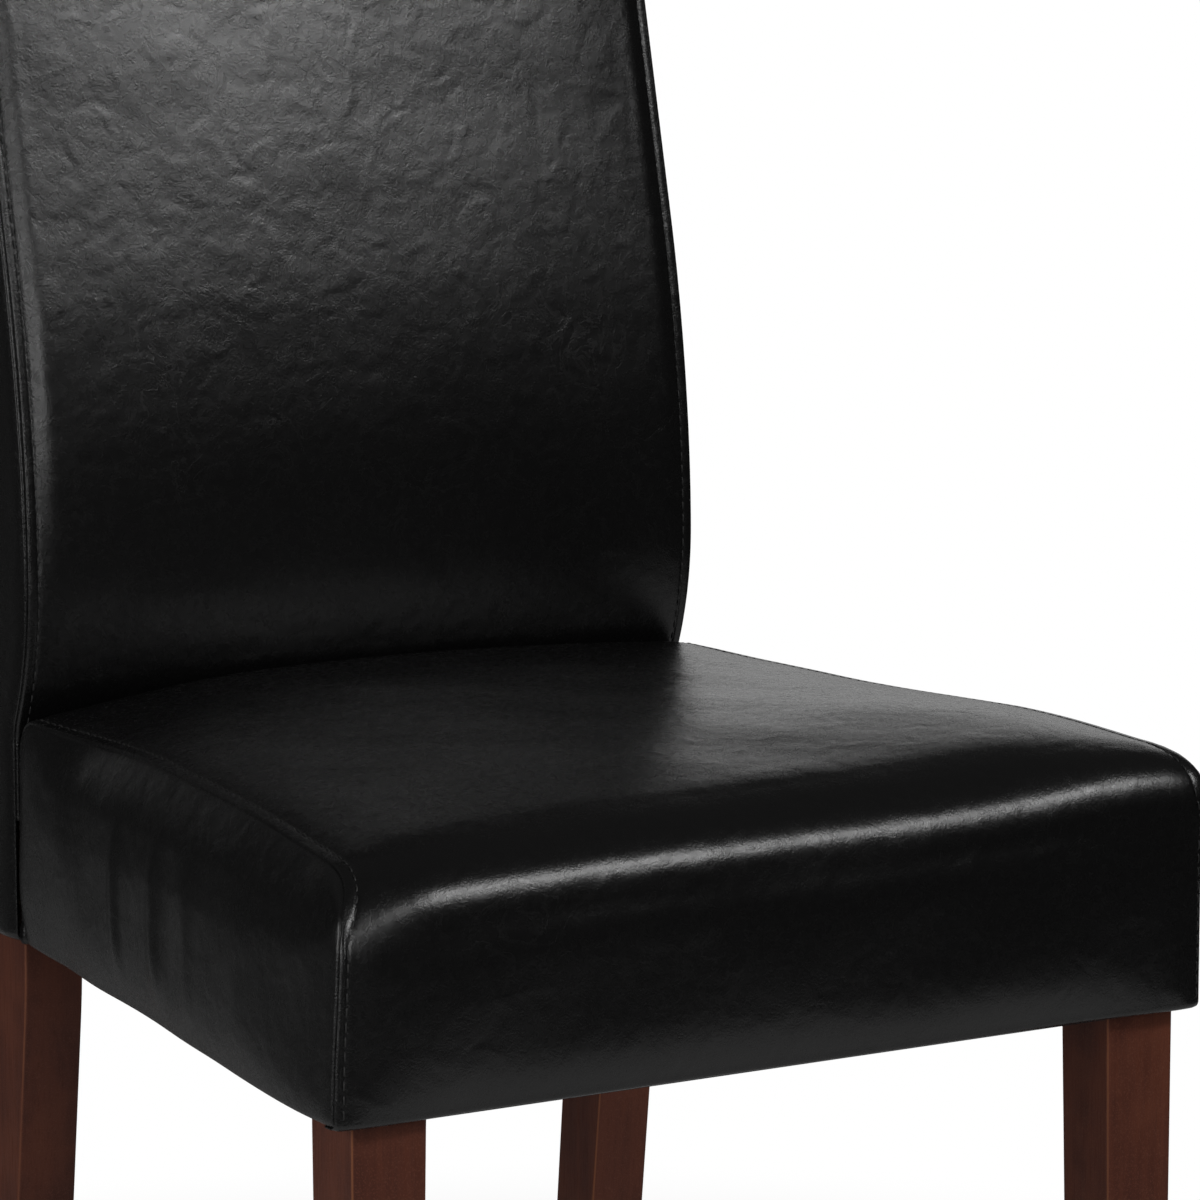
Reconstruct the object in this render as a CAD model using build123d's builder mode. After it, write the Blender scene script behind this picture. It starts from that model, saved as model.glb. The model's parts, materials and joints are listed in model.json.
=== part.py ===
import os
from math import asin, cos, degrees, radians, sin, sqrt, tan

from build123d import *

os.makedirs("parts", exist_ok=True)

# Upholstered dining chair, in millimetres. It faces -Y, +X is right as seen from the front,
# +Z is up. The floor is z = 0, and the origin is midway across and midway deep.

# Seat as upholstered: a waterfall panel over the top and front, sewn to two side panels
seat_front_width = 464.0
seat_rear_width = 383.0
seat_depth = 416.0
seat_height = 483.0
seat_thickness = 117.0
seat_front_crown = 8.0
seat_rear_crown = 13.0
seat_bow = 4.0
seat_front_round = 44.0
seat_rear_round = 20.0
seat_edge_round = 6.0
seat_side_bow = 3.0
seat_seam_set = 2.0

# Back as upholstered: straight up behind the seat, swelling at the lumbar, then leaning
back_height = 985.0
back_width = 386.0
back_lean = 13.5
back_rear_lean = 11.0
back_bend_radius = 680.0
back_crown = 6.0
back_top_round = 14.0
back_edge_round = 6.0
back_seam_set = 2.5
lumbar_rise = 54.0
lumbar_swell_height = 76.0
crease_round = 12.0

# Skins and fillings
leather = 1.2
back_pad = 18.0
back_wadding = 4.0
back_top_padding = 10.0
cover_flange = 28.0
seat_back_gap = 0.3
dust_cover_thickness = 0.6
dust_cover_margin = 6.0

# Wooden frame
frame_inset = 10.5
front_leg = 38.0
front_foot = 32.0
leg_edge_round = 1.6
leg_notch_clearance = 0.3
post_width = 32.0
post_depth = 41.5
post_side_padding = 0.3
post_foot_depth = 34.0
post_splay = 41.0
knee_drop = 25.0
knee_round = 300.0
rail_thickness = 22.0
rail_height = 64.0
lumbar_rail_height = 40.0
lumbar_rail_rise = 10.0
crest_rail_height = 50.0
panel_thickness = 3.0
panel_margin = 4.0
block_leg = 62.0
block_height = 44.0
block_drop = 6.0

# Fasteners
dowel_radius = 4.0
dowel_length = 30.0
dowel_end_gap = 1.0
dowel_spacing = 26.0
back_dowel_spacing = 18.0
fit = 0.05
screw_radius = 2.0
screw_head_radius = 4.0
screw_head_height = 2.6
screw_length = 34.0
screw_bite = 15.0
screw_set_in = 38.0
bolt_radius = 4.0
bolt_length = 40.0
bolt_head_radius = 6.5
bolt_head_height = 8.0
bolt_socket = 6.0
bolt_socket_depth = 4.0
bolt_clearance = 0.4
bolt_pitch = 54.0
bolt_count = 4
washer_radius = 9.0
washer_thickness = 1.6
insert_radius = 6.0
insert_length = 18.0

# Webbing and staples
strap_width = 48.0
strap_thickness = 1.6
strap_end_margin = 5.0
strap_ramp_start = 3.0
weave_clearance = 0.1
straps_long = 4
straps_cross = 4
straps_back = 4
staple_crown = 10.0
staple_wire = 0.9
staple_leg = 8.0
staple_head_room = 0.2
dust_staples = 4
panel_staples = 4

# Floor glides
glide_radius = 11.0
glide_height = 4.0
glide_rim_round = 1.2
nail_radius = 1.3
nail_length = 16.0
nail_head_radius = 3.5
nail_head_height = 1.2
nail_head_recess = 1.4

# Heights worked out from the sizes above
seat_bottom = seat_height - seat_thickness
frame_bottom = seat_bottom + leather
frame_top = frame_bottom + rail_height
weave_step = strap_thickness + weave_clearance
foam_bottom = frame_top + weave_step + strap_thickness + weave_clearance
seat_rear_top = seat_height + seat_rear_crown
bend_height = seat_rear_top + lumbar_rise
swell_bottom = bend_height - lumbar_swell_height
knee_height = seat_bottom - knee_drop
post_top = back_height - leather - back_top_padding
lumbar_rail_bottom = seat_rear_top + lumbar_rail_rise
lumbar_rail_top = lumbar_rail_bottom + lumbar_rail_height
crest_rail_bottom = post_top - crest_rail_height
strap_zone = strap_thickness + staple_wire + staple_head_room

# A line of the back is upright at y below the bend, then follows an arc, then leans
back_base = post_depth + panel_thickness + back_wadding + leather
lean = radians(back_lean)
rear_lean = radians(back_rear_lean)
post_bend = back_bend_radius - back_pad
rear_bend = post_bend - back_base


def lean_shift(height, radius, angle):
    rise = height - bend_height
    if rise <= 0:
        return 0.0
    if rise <= radius * sin(angle):
        return radius - sqrt(radius**2 - rise**2)
    return radius * (1 - cos(angle)) + (rise - radius * sin(angle)) * tan(angle)


def lean_tilt(height, radius, angle):
    rise = height - bend_height
    if rise <= 0:
        return 0.0
    return min(degrees(asin(min(rise / radius, 1.0))), degrees(angle))


# Depths: the rearmost point is the rounded top rear edge of the back
top_edge_loss = back_top_round * (tan(rear_lean) + 1 / cos(rear_lean) - 1)
rear_reach = lean_shift(back_height, rear_bend, rear_lean) - top_edge_loss
chair_depth = seat_depth + leather + back_base + rear_reach
seat_front_y = -chair_depth / 2
joint_y = seat_front_y + seat_depth
seat_rear_y = joint_y - seat_back_gap
post_front_y = joint_y + leather
post_rear_y = post_front_y + post_depth
lumbar_y = post_front_y - back_pad
back_rear_y = post_front_y + back_base
frame_front_y = seat_front_y + frame_inset
frame_rear_y = seat_rear_y - leather
leg_rear_y = frame_front_y + front_leg
front_rail_rear_y = frame_front_y + rail_thickness
rear_rail_front_y = frame_rear_y - rail_thickness
front_rail_mid_y = frame_front_y + rail_thickness / 2
rear_rail_mid_y = frame_rear_y - rail_thickness / 2

# Widths: the seat's sides run in towards the back
side_slope = (seat_front_width - seat_rear_width) / 2 / seat_depth
leg_outer_x = seat_front_width / 2 - frame_inset
leg_inner_x = leg_outer_x - front_leg
leg_middles = [
    (side * (leg_outer_x - front_leg / 2), frame_front_y + front_leg / 2) for side in (-1, 1)
]
leg_notch = front_leg + 2 * leg_notch_clearance
back_half = back_width / 2
post_outer_x = back_half - back_edge_round - post_side_padding
post_inner_x = post_outer_x - post_width
rail_slant_width = rail_thickness * sqrt(1 + side_slope**2)


def seat_half(y):
    return seat_front_width / 2 - side_slope * (y - seat_front_y)


def rail_outer_x(y):
    return seat_half(y) - frame_inset


def rail_inner_x(y):
    return rail_outer_x(y) - rail_slant_width


def rail_mid_x(y):
    return rail_outer_x(y) - rail_slant_width / 2


# Outline of the seat between two depths, drawn in from its sides by an inset
def seat_outline(front, rear, inset):
    with BuildSketch() as outline:
        with BuildLine():
            Polyline(
                (-seat_half(front) + inset, front),
                (seat_half(front) - inset, front),
                (seat_half(rear) - inset, rear),
                (-seat_half(rear) + inset, rear),
                close=True,
            )
        make_face()
    return outline.sketch


# Bend and lean of one line of the back, from its upright at y to the top
def lean_line(y, radius, angle, top):
    middle = (y + radius * (1 - cos(angle / 2)), bend_height + radius * sin(angle / 2))
    end = (y + radius * (1 - cos(angle)), bend_height + radius * sin(angle))
    tip = (y + lean_shift(top, radius, angle), top)
    ThreePointArc((y, bend_height), middle, end)
    Line(end, tip)
    return tip


# Face between two lines of the back, each set behind the posts' front
def lean_face(front_set, front_angle, rear_set, rear_angle, bottom, top):
    front = post_front_y + front_set
    rear = post_front_y + rear_set
    with BuildSketch() as face:
        with BuildLine():
            front_tip = lean_line(front, post_bend - front_set, front_angle, top)
            rear_tip = lean_line(rear, post_bend - rear_set, rear_angle, top)
            Line(front_tip, rear_tip)
            Polyline((front, bend_height), (front, bottom), (rear, bottom), (rear, bend_height))
        make_face()
    return face.sketch


# Keeps the part of a side-view sketch that lies between two heights
def keep_heights(bottom, top):
    with Locations((0, (bottom + top) / 2)):
        Rectangle(2 * chair_depth, top - bottom, mode=Mode.INTERSECT)


# The upholstered back, drawn in all round by an inset
def back_form(inset):
    bottom = seat_bottom + inset
    top = back_height - inset
    rear = back_rear_y - inset
    low = (joint_y + inset, bottom)
    crease = (joint_y + inset, swell_bottom)
    with BuildPart() as form:
        for x, swell in ((inset - back_half, 0), (0, back_crown), (back_half - inset, 0)):
            front = lumbar_y + inset - swell
            with BuildSketch(Plane.YZ.offset(x)) as profile:
                with BuildLine():
                    Line(low, crease)
                    TangentArc((front, bend_height), crease, tangent=(0, -1))
                    front_tip = lean_line(front, back_bend_radius - inset, lean, top)
                    rear_tip = lean_line(rear, rear_bend + inset, rear_lean, top)
                    Line(front_tip, rear_tip)
                    Polyline(low, (rear, bottom), (rear, bend_height))
                make_face()
                fillet(profile.vertices().group_by(Axis.Y)[-1], back_top_round - inset)
                fillet(profile.vertices().sort_by_distance(crease)[0], crease_round + inset)
        loft()
        side_edges = form.faces().filter_by(Axis.X).edges().sort_by(Axis.Z)
        fillet(side_edges[2:], back_edge_round - inset)
    return form.part


# The upholstered seat, drawn in all round by an inset, its rear top edge pressed by the back
def seat_form(inset, back):
    front = seat_front_y + inset
    rear = seat_rear_y - inset
    bottom = seat_bottom + inset
    span = seat_front_width / 2 + seat_side_bow
    with BuildPart() as form:
        for x, share in ((-span, 0), (0, 1), (span, 0)):
            front_top = (front, seat_height + share * seat_front_crown - inset)
            rear_top = (rear, seat_height + share * seat_rear_crown - inset)
            crest = ((front + rear) / 2, (front_top[1] + rear_top[1]) / 2 + seat_bow)
            with BuildSketch(Plane.YZ.offset(x)) as profile:
                with BuildLine():
                    Polyline(front_top, (front, bottom), (rear, bottom), rear_top)
                    ThreePointArc(front_top, crest, rear_top)
                make_face()
                fillet(profile.vertices().sort_by_distance(front_top)[0], seat_front_round - inset)
                fillet(profile.vertices().sort_by_distance(rear_top)[0], seat_rear_round - inset)
        loft()
        with BuildSketch(Plane.XY.offset(bottom)):
            ahead = front - seat_front_round
            behind = rear + seat_rear_round
            middle = (ahead + behind) / 2
            front_half = seat_half(ahead) - inset
            rear_half = seat_half(behind) - inset
            bowed = seat_half(middle) + seat_side_bow - inset
            with BuildLine():
                Line((-front_half, ahead), (front_half, ahead))
                ThreePointArc((front_half, ahead), (bowed, middle), (rear_half, behind))
                Line((rear_half, behind), (-rear_half, behind))
                ThreePointArc((-rear_half, behind), (-bowed, middle), (-front_half, ahead))
            make_face()
        extrude(amount=2 * seat_thickness, mode=Mode.INTERSECT)
        for side in (form.faces().sort_by(Axis.X)[0], form.faces().sort_by(Axis.X)[-1]):
            fillet(side.edges().sort_by(Axis.Z)[1:], seat_edge_round - inset)
        add(back, mode=Mode.SUBTRACT)
    return form.part


back_outer = back_form(0)
back_inner = back_form(leather)
seat_outer = seat_form(0, back_form(-seat_back_gap / 2))
seat_inner = seat_form(leather, back_form(-seat_back_gap / 2 - leather))


# Staples with their crowns lying on the given places and their legs driven in along -Z there
def staple_set(places):
    leg_x = (staple_crown - staple_wire) / 2
    with BuildPart() as staples:
        with Locations(*places):
            with Locations((0, 0, staple_wire / 2)):
                Box(staple_crown, staple_wire, staple_wire)
            with Locations((leg_x, 0, -staple_leg / 2), (-leg_x, 0, -staple_leg / 2)):
                Box(staple_wire, staple_wire, staple_leg)
    return staples.part


# Rods centred on the given places, along Z there
def rod_set(places, radius, length):
    with BuildPart() as rods:
        with Locations(*places):
            Cylinder(radius, length)
    return rods.part


# Countersunk screws standing on the rails' faces, tips along -Z, each in its clearance
def screw_set(places, clearance):
    shank = screw_length - screw_head_height
    with BuildPart() as screws:
        with Locations(*places):
            with Locations((0, 0, -screw_bite - clearance)):
                Cylinder(
                    screw_radius + clearance,
                    shank + clearance,
                    align=(Align.CENTER, Align.CENTER, Align.MIN),
                )
            with Locations((0, 0, shank - screw_bite)):
                Cone(
                    screw_radius + clearance,
                    screw_head_radius + clearance,
                    screw_head_height,
                    align=(Align.CENTER, Align.CENTER, Align.MIN),
                )
    return screws.part


# Places of the fasteners

frame_mid = frame_bottom + rail_height / 2
dowel_heights = (frame_mid - dowel_spacing / 2, frame_mid + dowel_spacing / 2)
seat_dowel_places = []
for side in (-1, 1):
    for z in dowel_heights:
        seat_dowel_places += [
            Location((side * leg_inner_x, front_rail_mid_y, z), (0, 90, 0)),
            Location((side * rail_mid_x(leg_rear_y), leg_rear_y, z), (90, 0, 0)),
            Location((side * rail_inner_x(rear_rail_mid_y), rear_rail_mid_y, z), (0, 90, 0)),
        ]


def back_rail_mid_y(z):
    return post_front_y + lean_shift(z, post_bend, lean) + rail_thickness / 2


lumbar_rail_mid = (lumbar_rail_bottom + lumbar_rail_top) / 2
crest_rail_mid = (crest_rail_bottom + post_top) / 2
back_dowel_places = []
for side in (-1, 1):
    for middle, spacing in (
        (frame_mid, dowel_spacing),
        (lumbar_rail_mid, back_dowel_spacing),
        (crest_rail_mid, back_dowel_spacing),
    ):
        for z in (middle - spacing / 2, middle + spacing / 2):
            back_dowel_places.append(
                Location((side * post_inner_x, back_rail_mid_y(z), z), (0, 90, 0))
            )

seat_dowel_holes = rod_set(seat_dowel_places, dowel_radius + fit, dowel_length + 2 * dowel_end_gap)
back_dowel_holes = rod_set(back_dowel_places, dowel_radius + fit, dowel_length + 2 * dowel_end_gap)

block_top = frame_top - block_drop
screw_height = block_top - block_height / 2
front_corner_x = rail_inner_x(front_rail_rear_y)
rear_corner_x = rail_inner_x(rear_rail_front_y)
screw_places = []
for side in (-1, 1):
    front_side_y = front_rail_rear_y + screw_set_in
    rear_side_y = rear_rail_front_y - screw_set_in
    screw_places += [
        Location((side * (front_corner_x - screw_set_in), front_rail_rear_y, screw_height), (-90, 0, 0)),
        Location((side * rail_inner_x(front_side_y), front_side_y, screw_height), (0, -90 * side, 0)),
        Location((side * (rear_corner_x - screw_set_in), rear_rail_front_y, screw_height), (90, 0, 0)),
        Location((side * rail_inner_x(rear_side_y), rear_side_y, screw_height), (0, -90 * side, 0)),
    ]
screw_holes = screw_set(screw_places, fit)

bolt_places = [
    Location((bolt_pitch * (i - (bolt_count - 1) / 2), rear_rail_front_y, frame_mid), (90, 0, 0))
    for i in range(bolt_count)
]
bolt_holes = rod_set(bolt_places, bolt_radius + bolt_clearance, 2 * (bolt_length + bolt_head_height))

cross_pitch = (rear_rail_front_y - front_rail_rear_y) / straps_cross
cross_ys = [front_rail_rear_y + cross_pitch * (j + 0.5) for j in range(straps_cross)]
long_pitch = 2 * rear_corner_x / straps_long
long_xs = [long_pitch * (i - (straps_long - 1) / 2) for i in range(straps_long)]
strap_top = frame_top + strap_thickness
webbing_staple_places = []
for offset in (-strap_width / 4, strap_width / 4):
    for x in long_xs:
        webbing_staple_places += [
            Location((x + offset, front_rail_mid_y, strap_top)),
            Location((x + offset, rear_rail_mid_y, strap_top)),
        ]
    for y in cross_ys:
        for side in (-1, 1):
            webbing_staple_places.append(
                Location((side * rail_mid_x(y + offset), y + offset, strap_top), (0, 0, 90))
            )

post_mid_x = (post_outer_x + post_inner_x) / 2
back_clear = crest_rail_bottom - lumbar_rail_top
back_strap_pitch = back_clear / straps_back
back_strap_heights = [lumbar_rail_top + back_strap_pitch * (j + 0.5) for j in range(straps_back)]
back_staple_places = []
for middle in back_strap_heights:
    for z in (middle - strap_width / 4, middle + strap_width / 4):
        radius = post_bend + strap_thickness
        y = post_front_y - strap_thickness + lean_shift(z, radius, lean)
        tilt = lean_tilt(z, radius, lean)
        for x in (-post_mid_x, post_mid_x):
            back_staple_places.append(Location((x, y, z), (90 - tilt, 0, 0)))

panel_set = post_depth + panel_thickness
panel_bottom = frame_bottom + panel_margin
panel_top = post_top - panel_margin
panel_staple_places = []
for i in range(panel_staples):
    z = panel_bottom + (panel_top - panel_bottom) * (i + 0.5) / panel_staples
    radius = post_bend - panel_set
    y = post_front_y + panel_set + lean_shift(z, radius, rear_lean)
    tilt = lean_tilt(z, radius, rear_lean)
    for x in (-post_mid_x, post_mid_x):
        panel_staple_places.append(Location((x, y, z), (-90 - tilt, 0, 0)))

dust_bottom = seat_bottom - dust_cover_thickness
dust_staple_places = []
for i in range(dust_staples):
    share = (i + 0.5) / dust_staples
    y = leg_rear_y + share * (rear_rail_front_y - leg_rear_y)
    dust_staple_places += [
        Location((leg_inner_x * (2 * share - 1), front_rail_mid_y, dust_bottom), (180, 0, 0)),
        Location((rear_corner_x * (2 * share - 1), rear_rail_mid_y, dust_bottom), (180, 0, 0)),
        Location((rail_mid_x(y), y, dust_bottom), (180, 0, 90)),
        Location((-rail_mid_x(y), y, dust_bottom), (180, 0, 90)),
    ]

foot_places = []
for side in (-1, 1):
    foot_places += [
        (side * (leg_outer_x - front_foot / 2), frame_front_y + front_foot / 2, 0),
        (side * post_mid_x, post_front_y + post_splay + post_foot_depth / 2, 0),
    ]
nail_places = [(x, y, nail_head_recess + nail_head_height) for x, y, z in foot_places]
nail_tip = nail_head_recess + nail_head_height + nail_length
with BuildPart() as nail_holes:
    with Locations(*foot_places):
        Cylinder(nail_radius + fit, nail_tip + fit, align=(Align.CENTER, Align.CENTER, Align.MIN))

# Staples, which the pieces they hold are cut for

with BuildPart() as webbing_staples:
    add(staple_set(webbing_staple_places))
webbing_staples.part.label = "webbing_staples"
export_step(webbing_staples.part, "parts/webbing_staples.step")

with BuildPart() as back_webbing_staples:
    add(staple_set(back_staple_places))
back_webbing_staples.part.label = "back_webbing_staples"
export_step(back_webbing_staples.part, "parts/back_webbing_staples.step")

with BuildPart() as rear_panel_staples:
    add(staple_set(panel_staple_places))
rear_panel_staples.part.label = "rear_panel_staples"
export_step(rear_panel_staples.part, "parts/rear_panel_staples.step")

with BuildPart() as dust_cover_staples:
    add(staple_set(dust_staple_places))
dust_cover_staples.part.label = "dust_cover_staples"
export_step(dust_cover_staples.part, "parts/dust_cover_staples.step")

# Front legs: square where they stand in the seat frame, tapering on their inner faces below it

front_leg_parts = {}
for side, name, top_middle in zip((-1, 1), ("front_leg_left", "front_leg_right"), leg_middles):
    foot_middle = (side * (leg_outer_x - front_foot / 2), frame_front_y + front_foot / 2)
    with BuildPart() as leg:
        with BuildSketch(Plane.XY.offset(glide_height)):
            with Locations(foot_middle):
                Rectangle(front_foot, front_foot)
        with BuildSketch(Plane.XY.offset(frame_bottom)):
            with Locations(top_middle):
                Rectangle(front_leg, front_leg)
        loft()
        fillet(leg.edges().sort_by(SortBy.LENGTH)[-4:], leg_edge_round)
        with BuildSketch(Plane.XY.offset(frame_bottom)):
            with Locations(top_middle):
                Rectangle(front_leg, front_leg)
        extrude(amount=rail_height)
        add(seat_dowel_holes, mode=Mode.SUBTRACT)
        add(nail_holes.part, mode=Mode.SUBTRACT)
    leg.part.label = name
    export_step(leg.part, f"parts/{name}.step")
    front_leg_parts[side] = leg.part

# Rear posts: raked leg, upright behind the seat, and leaning back upright, in one piece

for side, name in ((-1, "rear_post_left"), (1, "rear_post_right")):
    with BuildPart() as post:
        with BuildSketch(Plane.YZ.offset(side * post_mid_x)) as profile:
            front_knee = (post_front_y, knee_height)
            rear_knee = (post_rear_y, knee_height)
            foot_front = (post_front_y + post_splay, glide_height)
            foot_rear = (post_front_y + post_splay + post_foot_depth, glide_height)
            with BuildLine():
                front_tip = lean_line(post_front_y, post_bend, lean, post_top)
                rear_tip = lean_line(post_rear_y, post_bend - post_depth, rear_lean, post_top)
                Line(front_tip, rear_tip)
                Polyline(
                    (post_front_y, bend_height),
                    front_knee,
                    foot_front,
                    foot_rear,
                    rear_knee,
                    (post_rear_y, bend_height),
                )
            make_face()
            for knee in (front_knee, rear_knee):
                fillet(profile.vertices().sort_by_distance(knee)[0], knee_round)
        extrude(amount=post_width / 2, both=True)
        side_edges = post.faces().filter_by(Axis.X).edges().sort_by(Axis.Z)
        fillet(side_edges[2:-2], leg_edge_round)
        add(back_dowel_holes, mode=Mode.SUBTRACT)
        add(nail_holes.part, mode=Mode.SUBTRACT)
        add(back_webbing_staples.part, mode=Mode.SUBTRACT)
        add(rear_panel_staples.part, mode=Mode.SUBTRACT)
    post.part.label = name
    export_step(post.part, f"parts/{name}.step")

# Seat rails

with BuildPart() as seat_front_rail:
    with BuildSketch(Plane.XY.offset(frame_bottom)):
        with Locations((0, front_rail_mid_y)):
            Rectangle(2 * leg_inner_x, rail_thickness)
    extrude(amount=rail_height)
    add(seat_dowel_holes, mode=Mode.SUBTRACT)
    add(screw_holes, mode=Mode.SUBTRACT)
    add(webbing_staples.part, mode=Mode.SUBTRACT)
    add(dust_cover_staples.part, mode=Mode.SUBTRACT)
seat_front_rail.part.label = "seat_front_rail"
export_step(seat_front_rail.part, "parts/seat_front_rail.step")

with BuildPart() as seat_rear_rail:
    with BuildSketch(Plane.XY.offset(frame_bottom)):
        with BuildLine():
            Polyline(
                (-rail_inner_x(rear_rail_front_y), rear_rail_front_y),
                (rail_inner_x(rear_rail_front_y), rear_rail_front_y),
                (rail_inner_x(frame_rear_y), frame_rear_y),
                (-rail_inner_x(frame_rear_y), frame_rear_y),
                close=True,
            )
        make_face()
    extrude(amount=rail_height)
    add(seat_dowel_holes, mode=Mode.SUBTRACT)
    add(screw_holes, mode=Mode.SUBTRACT)
    add(bolt_holes, mode=Mode.SUBTRACT)
    add(webbing_staples.part, mode=Mode.SUBTRACT)
    add(dust_cover_staples.part, mode=Mode.SUBTRACT)
seat_rear_rail.part.label = "seat_rear_rail"
export_step(seat_rear_rail.part, "parts/seat_rear_rail.step")

for side, name in ((-1, "seat_side_rail_left"), (1, "seat_side_rail_right")):
    with BuildPart() as side_rail:
        with BuildSketch(Plane.XY.offset(frame_bottom)):
            with BuildLine():
                Polyline(
                    (side * rail_outer_x(leg_rear_y), leg_rear_y),
                    (side * rail_outer_x(frame_rear_y), frame_rear_y),
                    (side * rail_inner_x(frame_rear_y), frame_rear_y),
                    (side * rail_inner_x(leg_rear_y), leg_rear_y),
                    close=True,
                )
            make_face()
        extrude(amount=rail_height)
        add(seat_dowel_holes, mode=Mode.SUBTRACT)
        add(screw_holes, mode=Mode.SUBTRACT)
        add(webbing_staples.part, mode=Mode.SUBTRACT)
        add(dust_cover_staples.part, mode=Mode.SUBTRACT)
    side_rail.part.label = name
    export_step(side_rail.part, f"parts/{name}.step")

# Corner blocks across the four inner corners, with a flat pocket for each screw head

head_height = screw_length - screw_bite
with BuildPart() as screw_pockets:
    with Locations(*screw_places):
        with Locations((0, 0, head_height)):
            Cylinder(
                screw_head_radius + fit, block_leg, align=(Align.CENTER, Align.CENTER, Align.MIN)
            )

for side, side_name in ((-1, "left"), (1, "right")):
    for corner_name, corner_y, step in (
        ("front", front_rail_rear_y, block_leg),
        ("rear", rear_rail_front_y, -block_leg),
    ):
        name = f"corner_block_{corner_name}_{side_name}"
        with BuildPart() as block:
            with BuildSketch(Plane.XY.offset(block_top - block_height)):
                with BuildLine():
                    Polyline(
                        (side * rail_inner_x(corner_y), corner_y),
                        (side * (rail_inner_x(corner_y) - block_leg), corner_y),
                        (side * rail_inner_x(corner_y + step), corner_y + step),
                        close=True,
                    )
                make_face()
            extrude(amount=block_height)
            add(front_leg_parts[side], mode=Mode.SUBTRACT)
            add(seat_dowel_holes, mode=Mode.SUBTRACT)
            add(screw_holes, mode=Mode.SUBTRACT)
            add(screw_pockets.part, mode=Mode.SUBTRACT)
        block.part.label = name
        export_step(block.part, f"parts/{name}.step")

with BuildPart() as corner_block_screws:
    add(screw_set(screw_places, 0))
corner_block_screws.part.label = "corner_block_screws"
export_step(corner_block_screws.part, "parts/corner_block_screws.step")

with BuildPart() as seat_frame_dowels:
    add(rod_set(seat_dowel_places, dowel_radius, dowel_length))
seat_frame_dowels.part.label = "seat_frame_dowels"
export_step(seat_frame_dowels.part, "parts/seat_frame_dowels.step")

# Back rails between the posts, flush with the posts' front

with BuildPart() as insert_holes:
    with BuildSketch(Plane.XZ.offset(-post_front_y)):
        with Locations((0, frame_mid)):
            with GridLocations(bolt_pitch, bolt_pitch, bolt_count, 1):
                Circle(insert_radius + fit)
    extrude(amount=-insert_length)

with BuildPart() as back_bottom_rail:
    with BuildSketch(Plane.YZ):
        with Locations((post_front_y + rail_thickness / 2, frame_mid)):
            Rectangle(rail_thickness, rail_height)
    extrude(amount=post_inner_x, both=True)
    add(back_dowel_holes, mode=Mode.SUBTRACT)
    add(insert_holes.part, mode=Mode.SUBTRACT)
back_bottom_rail.part.label = "back_bottom_rail"
export_step(back_bottom_rail.part, "parts/back_bottom_rail.step")

for name, bottom, top in (
    ("back_lumbar_rail", lumbar_rail_bottom, lumbar_rail_top),
    ("back_crest_rail", crest_rail_bottom, post_top),
):
    with BuildPart() as rail:
        with BuildSketch(Plane.YZ):
            add(lean_face(0, lean, rail_thickness, lean, seat_bottom, back_height))
            keep_heights(bottom, top)
        extrude(amount=post_inner_x, both=True)
        add(back_dowel_holes, mode=Mode.SUBTRACT)
    rail.part.label = name
    export_step(rail.part, f"parts/{name}.step")

with BuildPart() as back_frame_dowels:
    add(rod_set(back_dowel_places, dowel_radius, dowel_length))
back_frame_dowels.part.label = "back_frame_dowels"
export_step(back_frame_dowels.part, "parts/back_frame_dowels.step")

# Bolts from inside the seat, through both covers, into threaded inserts in the back

with BuildPart() as seat_bolts:
    with Locations(*bolt_places):
        with Locations((0, 0, washer_thickness)):
            Cylinder(bolt_radius, bolt_length, align=(Align.CENTER, Align.CENTER, Align.MAX))
            Cylinder(
                bolt_head_radius, bolt_head_height, align=(Align.CENTER, Align.CENTER, Align.MIN)
            )
    for place in bolt_places:
        with BuildSketch(Plane(place).offset(washer_thickness + bolt_head_height)):
            RegularPolygon(bolt_socket / 2, 6, major_radius=False)
        extrude(amount=-bolt_socket_depth, mode=Mode.SUBTRACT)
seat_bolts.part.label = "seat_bolts"
export_step(seat_bolts.part, "parts/seat_bolts.step")

with BuildPart() as seat_bolt_washers:
    for place in bolt_places:
        with BuildSketch(Plane(place)):
            Circle(washer_radius)
            Circle(bolt_radius + bolt_clearance, mode=Mode.SUBTRACT)
        extrude(amount=washer_thickness)
seat_bolt_washers.part.label = "seat_bolt_washers"
export_step(seat_bolt_washers.part, "parts/seat_bolt_washers.step")

with BuildPart() as bolt_insert_nuts:
    with BuildSketch(Plane.XZ.offset(-post_front_y)):
        with Locations((0, frame_mid)):
            with GridLocations(bolt_pitch, bolt_pitch, bolt_count, 1):
                Circle(insert_radius)
                Circle(bolt_radius + fit, mode=Mode.SUBTRACT)
    extrude(amount=-insert_length)
bolt_insert_nuts.part.label = "bolt_insert_nuts"
export_step(bolt_insert_nuts.part, "parts/bolt_insert_nuts.step")


# Side view of a strap that passes over and under the straps it crosses
def woven_strap(start, stop, crossings, first_level):
    reach = strap_width / 2 + strap_ramp_start
    stops = [(start, 0)]
    for i, place in enumerate(crossings):
        level = (first_level + i) % 2
        stops += [(place - reach, level), (place + reach, level)]
    stops.append((stop, 0))
    lower = [(place, frame_top + level * weave_step) for place, level in stops]
    upper = [(place, height + strap_thickness) for place, height in reversed(lower)]
    with BuildSketch() as face:
        with BuildLine():
            Polyline(*lower, *upper, close=True)
        make_face()
    return face.sketch


# Seat webbing, woven, stapled to the tops of the rails

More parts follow.
